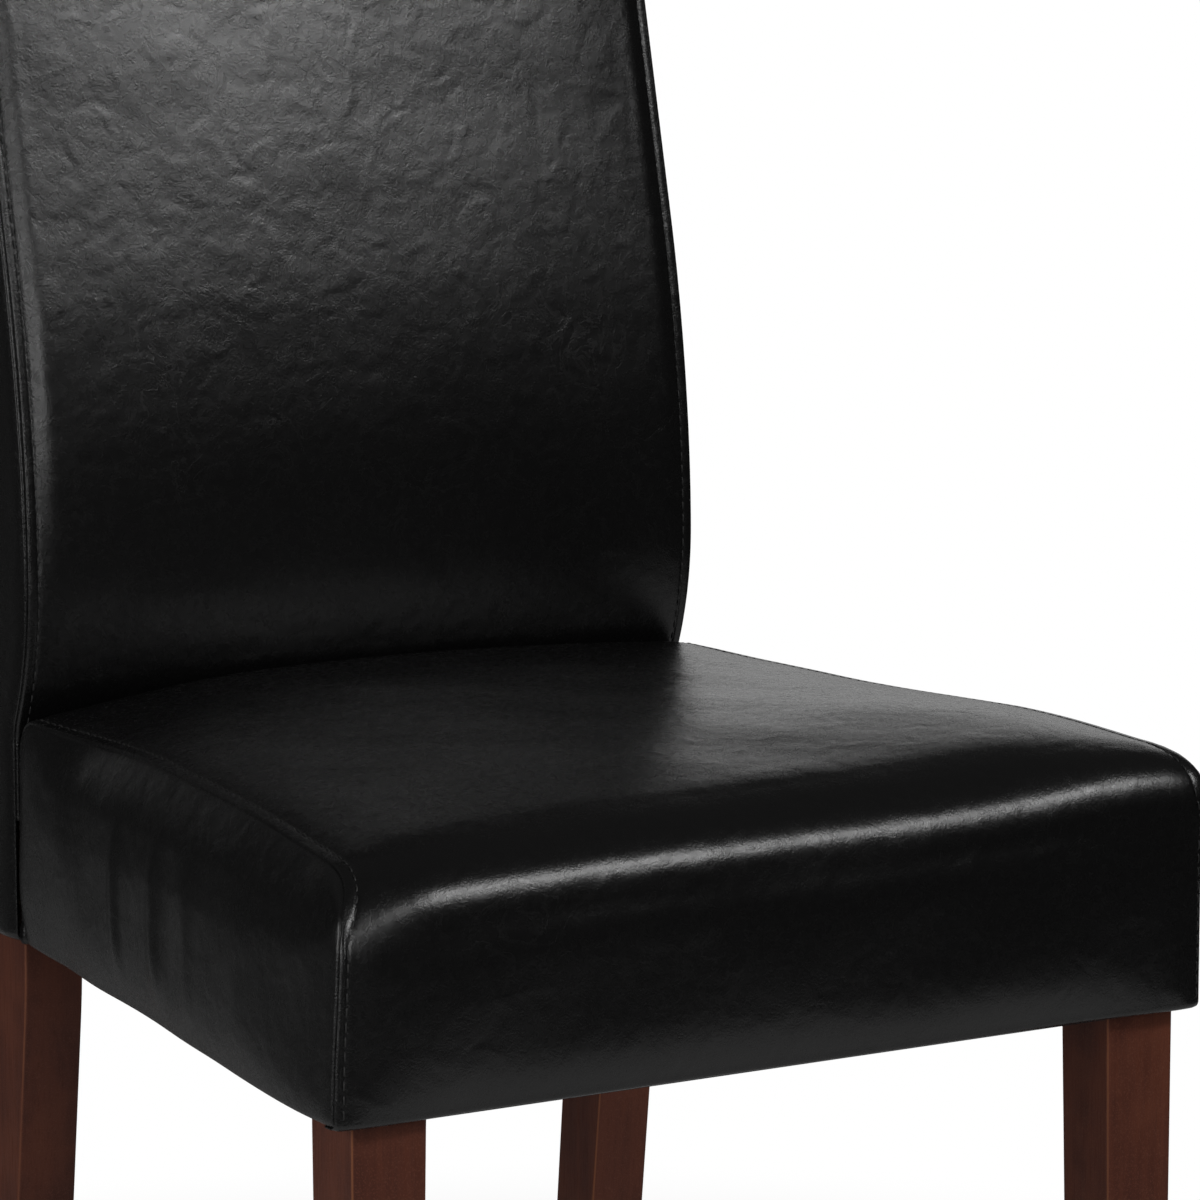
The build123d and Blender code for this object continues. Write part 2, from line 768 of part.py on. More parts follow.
with BuildPart() as seat_webbing_long:
    for i, x in enumerate(long_xs):
        with BuildSketch(Plane.YZ.offset(x)):
            start = frame_front_y + strap_end_margin
            add(woven_strap(start, frame_rear_y - strap_end_margin, cross_ys, i))
        extrude(amount=strap_width / 2, both=True)
    add(webbing_staples.part, mode=Mode.SUBTRACT)
seat_webbing_long.part.label = "seat_webbing_long"
export_step(seat_webbing_long.part, "parts/seat_webbing_long.step")

with BuildPart() as seat_webbing_cross:
    for j, y in enumerate(cross_ys):
        end = rail_outer_x(y) - strap_end_margin
        with BuildSketch(Plane.XZ.offset(-y)):
            add(woven_strap(-end, end, long_xs, j + 1))
        extrude(amount=strap_width / 2, both=True)
    add(webbing_staples.part, mode=Mode.SUBTRACT)
seat_webbing_cross.part.label = "seat_webbing_cross"
export_step(seat_webbing_cross.part, "parts/seat_webbing_cross.step")

with BuildPart() as back_webbing:
    for middle in back_strap_heights:
        with BuildSketch(Plane.YZ):
            add(lean_face(-strap_thickness, lean, 0, lean, seat_bottom, back_height))
            keep_heights(middle - strap_width / 2, middle + strap_width / 2)
        extrude(amount=post_outer_x - strap_end_margin, both=True)
    add(back_webbing_staples.part, mode=Mode.SUBTRACT)
back_webbing.part.label = "back_webbing"
export_step(back_webbing.part, "parts/back_webbing.step")

# Hardboard on the posts' rear faces

with BuildPart() as back_rear_panel:
    with BuildSketch(Plane.YZ):
        add(lean_face(post_depth, rear_lean, panel_set, rear_lean, seat_bottom, back_height))
        keep_heights(panel_bottom, panel_top)
    extrude(amount=post_outer_x - panel_margin, both=True)
    add(rear_panel_staples.part, mode=Mode.SUBTRACT)
back_rear_panel.part.label = "back_rear_panel"
export_step(back_rear_panel.part, "parts/back_rear_panel.step")

# Seat fillings: a crowned cushion over the webbing, and padding outside the rails below it

with BuildPart() as seat_foam:
    add(seat_inner)
    with BuildSketch(Plane.XY.offset(foam_bottom)):
        Rectangle(2 * seat_front_width, 2 * chair_depth)
    extrude(amount=-seat_thickness, mode=Mode.SUBTRACT)
seat_foam.part.label = "seat_foam"
export_step(seat_foam.part, "parts/seat_foam.step")

with BuildPart() as border_padding:
    add(seat_inner)
    with BuildSketch(Plane.XY.offset(foam_bottom)):
        Rectangle(2 * seat_front_width, 2 * chair_depth)
    extrude(amount=seat_thickness, mode=Mode.SUBTRACT)
    with BuildSketch(Plane.XY.offset(seat_bottom)):
        add(seat_outline(frame_front_y, joint_y, frame_inset))
        with Locations(*leg_middles):
            Rectangle(front_leg, front_leg)
    extrude(amount=seat_thickness, mode=Mode.SUBTRACT)

with BuildPart() as seat_padding_front:
    add(border_padding.part)
    split(bisect_by=Plane.XZ.offset(-frame_front_y), keep=Keep.TOP)
seat_padding_front.part.label = "seat_padding_front"
export_step(seat_padding_front.part, "parts/seat_padding_front.step")

for name, kept in (("seat_padding_left", Keep.BOTTOM), ("seat_padding_right", Keep.TOP)):
    with BuildPart() as side_padding:
        add(border_padding.part)
        split(bisect_by=Plane.XZ.offset(-frame_front_y), keep=Keep.BOTTOM)
        split(bisect_by=Plane.YZ, keep=kept)
    side_padding.part.label = name
    export_step(side_padding.part, f"parts/{name}.step")

# Back fillings: foam before the webbing, and wadding round the sides, top and rear of the frame

with BuildPart() as front_space:
    with BuildSketch(Plane.YZ):
        with BuildLine():
            y = post_front_y - strap_zone
            tip = lean_line(y, post_bend + strap_zone, lean, back_height)
            Polyline(
                tip,
                (-chair_depth, back_height),
                (-chair_depth, seat_bottom),
                (y, seat_bottom),
                (y, bend_height),
            )
        make_face()
    extrude(amount=back_width, both=True)

with BuildPart() as back_foam:
    add(back_inner)
    add(front_space.part, mode=Mode.INTERSECT)
back_foam.part.label = "back_foam"
export_step(back_foam.part, "parts/back_foam.step")

with BuildPart() as back_wadding_wrap:
    add(back_inner)
    add(front_space.part, mode=Mode.SUBTRACT)
    with BuildSketch(Plane.YZ):
        add(lean_face(-2 * strap_zone, lean, panel_set, rear_lean, seat_bottom, post_top))
    extrude(amount=post_outer_x, both=True, mode=Mode.SUBTRACT)
    add(rear_panel_staples.part, mode=Mode.SUBTRACT)
back_wadding_wrap.part.label = "back_wadding_wrap"
export_step(back_wadding_wrap.part, "parts/back_wadding_wrap.step")

# Seat cover: one leather skin, turned in under the rails, cut along its seams

with BuildPart() as seat_skin:
    add(seat_outer)
    add(seat_inner, mode=Mode.SUBTRACT)
    with BuildSketch(Plane.XY.offset(seat_bottom)):
        add(seat_outline(seat_front_y + cover_flange, seat_rear_y - cover_flange, cover_flange))
        with Locations(*leg_middles):
            Rectangle(leg_notch, leg_notch)
    extrude(amount=leather, mode=Mode.SUBTRACT)
    add(bolt_holes, mode=Mode.SUBTRACT)
    add(dust_cover_staples.part, mode=Mode.SUBTRACT)

side_spaces = {}
for side in (-1, 1):
    ahead = seat_front_y - cover_flange
    behind = joint_y + cover_flange
    far = seat_front_width
    turn_front = seat_front_y + cover_flange
    turn_rear = seat_rear_y - cover_flange
    with BuildPart() as space:
        with BuildSketch(Plane.XY.offset(seat_bottom)):
            with BuildLine():
                Polyline(
                    (side * (seat_half(ahead) - seat_seam_set), ahead),
                    (side * far, ahead),
                    (side * far, behind),
                    (side * (seat_half(behind) - seat_seam_set), behind),
                    close=True,
                )
            make_face()
        extrude(amount=2 * seat_thickness)
        with BuildSketch(Plane.XY.offset(seat_bottom)):
            with BuildLine():
                Polyline(
                    (side * seat_half(seat_front_y), seat_front_y),
                    (side * (seat_half(turn_front) - cover_flange), turn_front),
                    (side * (seat_half(turn_rear) - cover_flange), turn_rear),
                    (side * seat_half(seat_rear_y), seat_rear_y),
                    close=True,
                )
            make_face()
        extrude(amount=leather)
    side_spaces[side] = space.part

with BuildPart() as seat_cover_top:
    add(seat_skin.part)
    add(side_spaces[-1], mode=Mode.SUBTRACT)
    add(side_spaces[1], mode=Mode.SUBTRACT)
seat_cover_top.part.label = "seat_cover_top"
export_step(seat_cover_top.part, "parts/seat_cover_top.step")

for side, name in ((-1, "seat_cover_side_left"), (1, "seat_cover_side_right")):
    with BuildPart() as side_cover:
        add(seat_skin.part)
        add(side_spaces[side], mode=Mode.INTERSECT)
    side_cover.part.label = name
    export_step(side_cover.part, f"parts/{name}.step")

# Back cover: front panel running over the top, side panels, and rear panel

with BuildPart() as back_skin:
    add(back_outer)
    add(back_inner, mode=Mode.SUBTRACT)
    with BuildSketch(Plane.XY.offset(seat_bottom)):
        with Locations(
            (post_mid_x, post_front_y + post_depth / 2), (-post_mid_x, post_front_y + post_depth / 2)
        ):
            Rectangle(post_width, post_depth)
    extrude(amount=leather, mode=Mode.SUBTRACT)
    add(bolt_holes, mode=Mode.SUBTRACT)

seam_x = back_half - back_seam_set
with BuildPart() as middle_space:
    with BuildSketch(Plane.YZ):
        with Locations((0, (seat_bottom + back_height) / 2)):
            Rectangle(2 * chair_depth, 2 * back_height)
    extrude(amount=seam_x, both=True)

with BuildPart() as rear_space:
    with BuildSketch(Plane.YZ):
        seam_height = back_height - back_top_round
        add(lean_face(post_depth / 2, rear_lean, 2 * back_base, rear_lean, seat_bottom, seam_height))
    extrude(amount=seam_x, both=True)

with BuildPart() as back_cover_front:
    add(back_skin.part)
    add(middle_space.part, mode=Mode.INTERSECT)
    add(rear_space.part, mode=Mode.SUBTRACT)
back_cover_front.part.label = "back_cover_front"
export_step(back_cover_front.part, "parts/back_cover_front.step")

with BuildPart() as back_cover_rear:
    add(back_skin.part)
    add(rear_space.part, mode=Mode.INTERSECT)
back_cover_rear.part.label = "back_cover_rear"
export_step(back_cover_rear.part, "parts/back_cover_rear.step")

for side, name in ((-1, "back_cover_side_left"), (1, "back_cover_side_right")):
    with BuildPart() as side_cover:
        add(back_skin.part)
        with BuildSketch(Plane.YZ.offset(side * seam_x)):
            with Locations((0, (seat_bottom + back_height) / 2)):
                Rectangle(2 * chair_depth, 2 * back_height)
        extrude(amount=side * back_width, mode=Mode.INTERSECT)
    side_cover.part.label = name
    export_step(side_cover.part, f"parts/{name}.step")

# Dust cover under the seat

with BuildPart() as dust_cover:
    with BuildSketch(Plane.XY.offset(dust_bottom)):
        front = seat_front_y + dust_cover_margin
        add(seat_outline(front, seat_rear_y - dust_cover_margin, dust_cover_margin))
        with Locations(*leg_middles):
            Rectangle(leg_notch, leg_notch, mode=Mode.SUBTRACT)
    extrude(amount=dust_cover_thickness)
    add(dust_cover_staples.part, mode=Mode.SUBTRACT)
dust_cover.part.label = "dust_cover"
export_step(dust_cover.part, "parts/dust_cover.step")

# Floor glides and the nails that hold them, heads sunk clear of the floor

with BuildPart() as floor_glides:
    with Locations(*foot_places):
        Cylinder(glide_radius, glide_height, align=(Align.CENTER, Align.CENTER, Align.MIN))
    fillet(floor_glides.edges().group_by(Axis.Z)[0], glide_rim_round)
    with Locations(*foot_places):
        Cylinder(
            nail_head_radius + fit,
            nail_head_recess + nail_head_height,
            align=(Align.CENTER, Align.CENTER, Align.MIN),
            mode=Mode.SUBTRACT,
        )
    add(nail_holes.part, mode=Mode.SUBTRACT)
floor_glides.part.label = "floor_glides"
export_step(floor_glides.part, "parts/floor_glides.step")

with BuildPart() as glide_nails:
    with Locations(*nail_places):
        Cylinder(nail_radius, nail_length, align=(Align.CENTER, Align.CENTER, Align.MIN))
        Cylinder(nail_head_radius, nail_head_height, align=(Align.CENTER, Align.CENTER, Align.MAX))
glide_nails.part.label = "glide_nails"
export_step(glide_nails.part, "parts/glide_nails.step")
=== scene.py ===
import json
import math

import bmesh
import bpy
import numpy as np
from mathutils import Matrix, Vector
from mathutils.bvhtree import BVHTree
from mathutils.kdtree import KDTree


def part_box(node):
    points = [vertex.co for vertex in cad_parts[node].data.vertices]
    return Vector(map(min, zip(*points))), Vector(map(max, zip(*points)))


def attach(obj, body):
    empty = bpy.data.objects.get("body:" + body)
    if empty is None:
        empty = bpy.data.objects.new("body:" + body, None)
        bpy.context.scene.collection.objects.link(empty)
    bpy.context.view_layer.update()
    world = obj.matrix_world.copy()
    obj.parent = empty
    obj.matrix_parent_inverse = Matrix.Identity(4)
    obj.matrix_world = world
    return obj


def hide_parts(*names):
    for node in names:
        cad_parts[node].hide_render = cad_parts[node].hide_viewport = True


for startItem in ("Cube", "Light", "Camera"):  # what a new Blender file holds
    if startItem in bpy.data.objects:
        bpy.data.objects.remove(bpy.data.objects[startItem])
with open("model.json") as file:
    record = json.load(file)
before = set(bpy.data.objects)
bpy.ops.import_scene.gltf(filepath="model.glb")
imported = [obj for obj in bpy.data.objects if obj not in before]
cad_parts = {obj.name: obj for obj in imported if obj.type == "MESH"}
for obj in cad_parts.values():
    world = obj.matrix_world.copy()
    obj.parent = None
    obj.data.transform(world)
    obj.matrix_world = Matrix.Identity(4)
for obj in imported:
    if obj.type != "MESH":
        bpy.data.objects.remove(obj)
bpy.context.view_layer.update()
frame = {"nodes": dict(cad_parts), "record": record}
mm = 0.001
print("frame loaded:", len(frame["nodes"]), "nodes")

scene = bpy.context.scene
scene.view_settings.view_transform = "Standard"


# one socket behaves like a number, so shader maths reads as plain expressions
class Signal:
    def __init__(self, finish, socket):
        self.finish, self.socket = finish, socket

    def maths(self, operation, *values):
        return self.finish.node("ShaderNodeMath", {"operation": operation}, dict(enumerate(values)))

    def __add__(self, other):
        return self.maths("ADD", self, other)

    def __sub__(self, other):
        return self.maths("SUBTRACT", self, other)

    def __rsub__(self, other):
        return self.maths("SUBTRACT", other, self)

    def __mul__(self, other):
        return self.maths("MULTIPLY", self, other)

    def __pow__(self, power):
        return self.maths("POWER", self, power)

    def __abs__(self):
        return self.maths("ABSOLUTE", self)

    __radd__, __rmul__ = __add__, __mul__

    def step(self, low, high):  # 0 at low, 1 at high, smooth between
        return self.finish.node("ShaderNodeMapRange", {"interpolation_type": "SMOOTHSTEP"},
                                {"Value": self, "From Min": low, "From Max": high})


class Finish:
    def __init__(self, name, world=None):
        self.block = world or bpy.data.materials.new(name)
        self.block.use_nodes = True
        self.tree = self.block.node_tree
        self.tree.nodes.clear()

    def node(self, kind, settings=None, sockets=None, out=0):
        made = self.tree.nodes.new(kind)
        for key, value in (settings or {}).items():
            setattr(made, key, value)
        for key, value in (sockets or {}).items():
            found = made.inputs[key] if isinstance(key, int) else next(
                s for s in made.inputs if key in (s.identifier, s.name))
            if isinstance(value, Signal):
                self.tree.links.new(value.socket, found)
            else:
                found.default_value = value
        if not made.outputs:
            return None
        if isinstance(out, str):
            return Signal(self, next(s for s in made.outputs if out in (s.identifier, s.name)))
        return Signal(self, made.outputs[out])

    def place(self):  # the object's own coordinates, in metres
        return self.node("ShaderNodeTexCoord", out="Object")

    def stretched(self, vector, scale):
        return self.node("ShaderNodeVectorMath", {"operation": "MULTIPLY"}, {0: vector, 1: scale})

    def noise(self, vector, size, detail=2.0, rough=0.5, twist=0.0):
        return self.node("ShaderNodeTexNoise", {}, {
            "Vector": vector, "Scale": 1 / size, "Detail": detail,
            "Roughness": rough, "Distortion": twist})

    def blend(self, share, first, second):
        first = (*first, 1) if isinstance(first, tuple) else first
        second = (*second, 1) if isinstance(second, tuple) else second
        return self.node("ShaderNodeMix", {"data_type": "RGBA"}, {
            "Factor_Float": share, "A_Color": first, "B_Color": second}, "Result_Color")

    def bump(self, height, distance):
        return self.node("ShaderNodeBump", {}, {"Height": height, "Distance": distance})

    def principled(self, **sockets):
        named = {key.replace("_", " "): value for key, value in sockets.items()}
        shader = self.node("ShaderNodeBsdfPrincipled", {}, named)
        self.node("ShaderNodeOutputMaterial", {}, {"Surface": shader})
        return self.block


leatherSet = {
    "tone": (0.0024, 0.0023, 0.0024), "paleTone": (0.0034, 0.0033, 0.0033),
    # the darker crease tone is painted shade in the vein creases
    "creaseShadeTone": (0.0012, 0.0012, 0.0012), "creaseShadeShare": 0.5,
    "rough": 0.27, "roughSpread": 0.06, "creaseRough": 0.06, "gloss": 0.5,
    "grainSize": 1.0 * mm, "crinkleSize": 4.0 * mm, "blotchSize": 17 * mm,
    "veinSize": 24 * mm, "veinWidth": 0.016,
    "patchSize": 60 * mm, "patchEdge": (0.42, 0.62), "strayVeins": 0.25,  # veins gather in patches
    # the height of the bumps, and how much each texture adds to them
    "relief": 0.14 * mm, "grain": 1.0, "crinkle": 0.55, "vein": 0.14, "blotch": 3.2, "mottle": 0.8,
}


def makeLeather():
    finish = Finish("black_leather")
    at = finish.place()
    grain = finish.noise(at, leatherSet["grainSize"], detail=3.0, rough=0.65)
    crinkle = finish.noise(at, leatherSet["crinkleSize"], detail=3.0, rough=0.6, twist=0.5)
    wander = finish.noise(at, leatherSet["veinSize"], detail=5.0, rough=0.62, twist=0.8)
    blotch = finish.noise(at, leatherSet["blotchSize"], detail=1.0, twist=0.6)
    gathered = finish.noise(at, leatherSet["patchSize"]).step(*leatherSet["patchEdge"])
    stray = leatherSet["strayVeins"]
    vein = 1 - abs(wander - 0.5).step(0.0, leatherSet["veinWidth"])
    vein = vein * (stray + (1 - stray) * gathered)
    height = leatherSet["grain"] * grain + leatherSet["crinkle"] * crinkle \
        + leatherSet["blotch"] * blotch + leatherSet["mottle"] * wander - leatherSet["vein"] * vein
    tone = finish.blend(crinkle, leatherSet["tone"], leatherSet["paleTone"])
    rough = leatherSet["rough"] + leatherSet["roughSpread"] * (crinkle - 0.5)
    return finish.principled(
        # the veins' darker colour is painted shade in the creases, where the bump dips
        Base_Color=finish.blend(vein * leatherSet["creaseShadeShare"], tone, leatherSet["creaseShadeTone"]),
        Roughness=rough + leatherSet["creaseRough"] * vein,
        Normal=finish.bump(height, leatherSet["relief"]),
        Specular_IOR_Level=leatherSet["gloss"])


woodSet = {
    "dark": (0.058, 0.0142, 0.0075), "middle": (0.095, 0.0246, 0.0118),
    "light": (0.120, 0.0335, 0.0158), "speck": (0.135, 0.046, 0.026),
    "pull": 0.05,  # the grain is drawn out along the legs
    "figureSize": 12 * mm, "cloudSize": 45 * mm, "fleckSize": 0.9 * mm, "speckSize": 0.7 * mm,
    # each layer of colour: its share, and where its noise starts to show and is full
    "figure": (1.0, 0.30, 0.70), "clouds": (0.7, 0.40, 0.75),
    "pores": (0.6, 0.52, 0.70), "specks": (0.55, 0.50, 0.72), "poreShare": 0.6,
    # rubbed edges are paler, and unevenly so
    "wornEdge": (0.20, 0.070, 0.029), "wornShare": 0.85, "wornLeast": 0.35, "wornSize": 30 * mm,
    "wornNoise": (0.35, 0.6), "wornCorner": (0.70, 0.98),
    "rough": 0.44, "poreRough": 0.14, "openPores": (0.45, 0.7), "cloudRough": 0.06, "gloss": 0.28,
    "relief": 0.06 * mm, "figureBump": 0.5, "poreBump": 0.6, "fleckBump": 0.4,
}


def makeStainedWood():
    finish = Finish("mahogany_stain")
    at = finish.place()
    along = finish.stretched(at, (1.0, 1.0, woodSet["pull"]))
    figure = finish.noise(along, woodSet["figureSize"], detail=4.0, rough=0.6, twist=0.6)
    pores = finish.noise(along, woodSet["fleckSize"], rough=0.6)
    fleck = finish.noise(at, woodSet["fleckSize"], rough=0.6)
    cloud = finish.noise(at, woodSet["cloudSize"], detail=3.0, rough=0.6)
    speck = finish.noise(at, woodSet["speckSize"], detail=1.0, rough=0.6)
    rubbed = finish.noise(along, woodSet["wornSize"], detail=3.0).step(*woodSet["wornNoise"])

    def layer(name, mask, below, tone):
        share, low, high = woodSet[name]
        return finish.blend(mask.step(low, high) * share, below, woodSet[tone])
    poreShare, least = woodSet["poreShare"], woodSet["wornLeast"]
    tone = layer("figure", figure, woodSet["dark"], "middle")
    tone = layer("clouds", cloud, tone, "light")
    tone = layer("pores", pores * poreShare + fleck * (1 - poreShare), tone, "dark")
    tone = layer("specks", speck, tone, "speck")
    normal = finish.node("ShaderNodeNewGeometry", out="Normal")
    across = abs(finish.node("ShaderNodeSeparateXYZ", {}, {0: normal}))
    corner = across * ((1 - across * across) ** 0.5) * 2.0  # 1 on a 45 degree edge, 0 on the faces
    worn = corner.step(*woodSet["wornCorner"]) * (least + (1 - least) * rubbed)
    rough = woodSet["rough"] + woodSet["poreRough"] * pores.step(*woodSet["openPores"])
    height = woodSet["figureBump"] * figure - woodSet["poreBump"] * pores \
        + woodSet["fleckBump"] * fleck
    return finish.principled(
        Base_Color=finish.blend(worn * woodSet["wornShare"], tone, woodSet["wornEdge"]),
        Roughness=rough + woodSet["cloudRough"] * cloud,
        Normal=finish.bump(height, woodSet["relief"]),
        Specular_IOR_Level=woodSet["gloss"])


plainWoodSet = {"ringPull": 0.12, "fibrePull": 0.05, "fibreSize": 1.1 * mm, "ringShare": 0.7,
                "tones": (0.3, 0.7), "rough": 0.62, "fibreRough": 0.2, "relief": 0.12 * mm}


def makePlainWood(name, dark, pale, ringSize):
    finish = Finish(name)
    at = finish.place()
    ringWay = finish.stretched(at, (plainWoodSet["ringPull"], 1.0, 1.0))
    fibreWay = finish.stretched(at, (plainWoodSet["fibrePull"], 1.0, 1.0))
    rings = finish.noise(ringWay, ringSize, detail=4.0, rough=0.6, twist=0.5)
    fibre = finish.noise(fibreWay, plainWoodSet["fibreSize"])
    share = plainWoodSet["ringShare"]
    mixed = rings * share + fibre * (1 - share)
    return finish.principled(
        Base_Color=finish.blend(mixed.step(*plainWoodSet["tones"]), dark, pale),
        Roughness=plainWoodSet["rough"] + plainWoodSet["fibreRough"] * fibre,
        Normal=finish.bump(fibre + rings, plainWoodSet["relief"]))


weaveSet = {"bands": 0.16, "fuzzSize": 1.4,  # for each thread's width
            "weaveShare": 0.6, "fuzzHeight": 0.6, "rough": 0.88, "fuzzRough": 0.08,
            "relief": 0.25 * mm, "gloss": 0.25}


def makeCloth(name, dark, pale, thread):
    finish = Finish(name)
    at = finish.place()
    warp, weft = [finish.node("ShaderNodeTexWave", {"bands_direction": way}, {
        "Vector": at, "Scale": weaveSet["bands"] / thread}) for way in "XY"]
    weave = warp * weft
    fuzz = finish.noise(at, weaveSet["fuzzSize"] * thread, detail=3.0, rough=0.65)
    share = weaveSet["weaveShare"]
    return finish.principled(
        Base_Color=finish.blend(weave * share + fuzz * (1 - share), dark, pale),
        Roughness=weaveSet["rough"] + weaveSet["fuzzRough"] * fuzz,
        Normal=finish.bump(weave + weaveSet["fuzzHeight"] * fuzz, weaveSet["relief"]),
        Specular_IOR_Level=weaveSet["gloss"])


foamSet = {"cloudSize": 55 * mm, "cellShare": 0.7, "rough": 0.92, "cloudRough": 0.06,
           "relief": 0.5 * mm, "gloss": 0.2}


def makeFoam(name, dark, pale, pore):
    finish = Finish(name)
    at = finish.place()
    cell = finish.node("ShaderNodeTexVoronoi", {}, {"Vector": at, "Scale": 1 / pore}, "Distance")
    cloud = finish.noise(at, foamSet["cloudSize"], detail=3.0)
    share = foamSet["cellShare"]
    return finish.principled(
        Base_Color=finish.blend(cell * share + cloud * (1 - share), dark, pale),
        Roughness=foamSet["rough"] - foamSet["cloudRough"] * cloud,
        Normal=finish.bump(cell, foamSet["relief"]), Specular_IOR_Level=foamSet["gloss"])


metalSet = {"brushSize": 0.4 * mm, "brushPull": 0.1, "dullSize": 6 * mm, "dullRough": 0.14,
            "tones": (0.35, 0.7), "relief": 0.02 * mm}


def makeMetal(name, dark, pale, rough):
    finish = Finish(name)
    at = finish.place()
    brushWay = finish.stretched(at, (1.0, 1.0, metalSet["brushPull"]))
    brushed = finish.noise(brushWay, metalSet["brushSize"])
    dull = finish.noise(at, metalSet["dullSize"], detail=3.0, rough=0.6)
    return finish.principled(
        Base_Color=finish.blend(dull.step(*metalSet["tones"]), dark, pale), Metallic=1.0,
        Roughness=rough + metalSet["dullRough"] * dull,
        Normal=finish.bump(brushed, metalSet["relief"]))


plasticSet = {"scuffSize": 4 * mm, "scuffRough": 0.2, "tones": (0.4, 0.7), "relief": 0.05 * mm}


def makePlastic(name, dark, pale, rough):
    finish = Finish(name)
    scuff = finish.noise(finish.place(), plasticSet["scuffSize"], detail=4.0, rough=0.65)
    return finish.principled(
        Base_Color=finish.blend(scuff.step(*plasticSet["tones"]), dark, pale),
        Roughness=rough + plasticSet["scuffRough"] * scuff,
        Normal=finish.bump(scuff, plasticSet["relief"]))


# a dark and a pale tone for each plain finish, and then its texture's size or its roughness
finishes = {
    "stained_wood": makeStainedWood(),
    "frame_wood": makePlainWood("pine_frame", (0.42, 0.25, 0.12), (0.62, 0.43, 0.25), 14 * mm),
    "hardboard": makePlainWood("hardboard_panel", (0.16, 0.085, 0.04), (0.24, 0.14, 0.075), 5 * mm),
    "leather": makeLeather(),
    "foam": makeFoam("cut_foam", (0.55, 0.45, 0.22), (0.80, 0.70, 0.42), 1.4 * mm),
    "padding": makeFoam("white_wadding", (0.62, 0.61, 0.58), (0.85, 0.84, 0.81), 3.0 * mm),
    "webbing": makeCloth("jute_webbing", (0.20, 0.13, 0.07), (0.42, 0.31, 0.18), 1.3 * mm),
    "dust_cloth": makeCloth("black_dust_cloth", (0.010, 0.010, 0.011), (0.030, 0.030, 0.032),
                            0.8 * mm),
    "zinc_steel": makeMetal("zinc_steel", (0.42, 0.42, 0.43), (0.62, 0.62, 0.62), 0.30),
    "insert_brass": makeMetal("brass_insert", (0.50, 0.33, 0.12), (0.70, 0.50, 0.22), 0.30),
    "glide_plastic": makePlastic("glide_plastic", (0.018, 0.017, 0.017), (0.045, 0.043, 0.042),
                                 0.45),
    "thread": makePlastic("black_thread", (0.006, 0.006, 0.006), (0.018, 0.0176, 0.017), 0.46),
}
for part in frame["record"]["subparts"]:
    coat = frame["nodes"][part["node"]].data.materials
    coat.clear()
    coat.append(finishes[part["material_slot"]])
print("finishes made:", len(finishes))


def treeOf(*names):
    corners, faces = [], []
    for name in names:
        mesh = frame["nodes"][name].data
        start = len(corners)
        corners += [v.co.copy() for v in mesh.vertices]
        faces += [[start + i for i in p.vertices] for p in mesh.polygons]
    return BVHTree.FromPolygons(corners, faces)


def cast(tree, origin, way):
    for nudge in (1.0, 0.998, 0.995):  # a ray can slip between two panels' edges
        hit = tree.ray_cast(Vector((origin[0] * nudge, origin[1], origin[2])), Vector(way))[0]
        if hit is not None:
            return np.array(hit)
    return None


def lengths(line):  # distance run along a line of points
    return np.concatenate([[0], np.cumsum(np.linalg.norm(np.diff(line, axis=0), axis=1))])


def readLine(line, shares):  # points at shares of a line's length
    run = lengths(line)
    places = np.asarray(shares) * run[-1]
    return np.stack([np.interp(places, run, line[:, k]) for k in range(3)], 1)


def curved(values, old, new):  # smooth reading, at new places, of values kept at old ones
    slopes = np.gradient(values, old, axis=0)
    i = np.clip(np.searchsorted(old, new) - 1, 0, len(old) - 2)
    shape = (-1,) + (1,) * (values.ndim - 1)
    h = (old[i + 1] - old[i]).reshape(shape)
    t = ((new - old[i]) / (old[i + 1] - old[i])).reshape(shape)
    return ((2 * t**3 - 3 * t**2 + 1) * values[i] + (t**3 - 2 * t**2 + t) * h * slopes[i]
            + (3 * t**2 - 2 * t**3) * values[i + 1] + (t**3 - t**2) * h * slopes[i + 1])


# how closely the panels are sampled
gridSet = {
    "seamPlaces": np.array([0, 0.3, 0.6, 0.95, 1.35, 1.8, 2.3, 2.9, 3.6, 4.4,  # mm from a sewn edge
                            5.1, 5.6, 6.0, 6.4, 6.9, 7.5, 8.4, 10, 12.4]),
    "seamSample": 0.2 * mm, "edgeShare": 0.9998,  # rays keep this far inside a panel's edges
}


def spread(length, first, last, step):  # shares of a length, close together at its sewn ends
    low = gridSet["seamPlaces"] * mm if first else np.array([0.0])
    high = gridSet["seamPlaces"] * mm if last else np.array([0.0])
    count = int(round((length - low[-1] - high[-1]) / step))
    middle = np.linspace(low[-1], length - high[-1], count + 1)[1:-1]
    return np.concatenate([low, middle, length - high[::-1]]) / length


def sharesOf(count, nearEdge):  # places across a panel from -1 to 1, with more at both edges
    return np.unique(np.concatenate([np.linspace(-1, 1, count), nearEdge, np.negative(nearEdge)]))


def gridOf(lineMaker, shares, u, ends, step):  # a panel's points, from lines that run along it
    inside = np.clip(shares, -gridSet["edgeShare"], gridSet["edgeShare"])
    raw = [lineMaker(share) for share in inside]
    v = spread(lengths(raw[len(raw) // 2])[-1], *ends, step)
    return curved(np.array([readLine(line, v) for line in raw]), shares, u * 2 - 1), v


def outward(points):
    n = np.cross(np.gradient(points, axis=0), np.gradient(points, axis=1))
    return n / np.maximum(np.linalg.norm(n, axis=2, keepdims=True), 1e-12)


def middleWay(out, axis):  # how far the middle of a panel faces along an axis
    return out[out.shape[0] // 2, out.shape[1] // 2, axis]


def smooth(x, low, high):
    t = np.clip((x - low) / (high - low), 0, 1)
    return t * t * (3 - 2 * t)


def bell(x, middle, width):
    return np.exp(-(((x - middle) / width) ** 2))


def fade(x, reach):  # 1 at a seam, running out at its reach
    return np.clip(1 - x / reach, 0, 1) ** 2


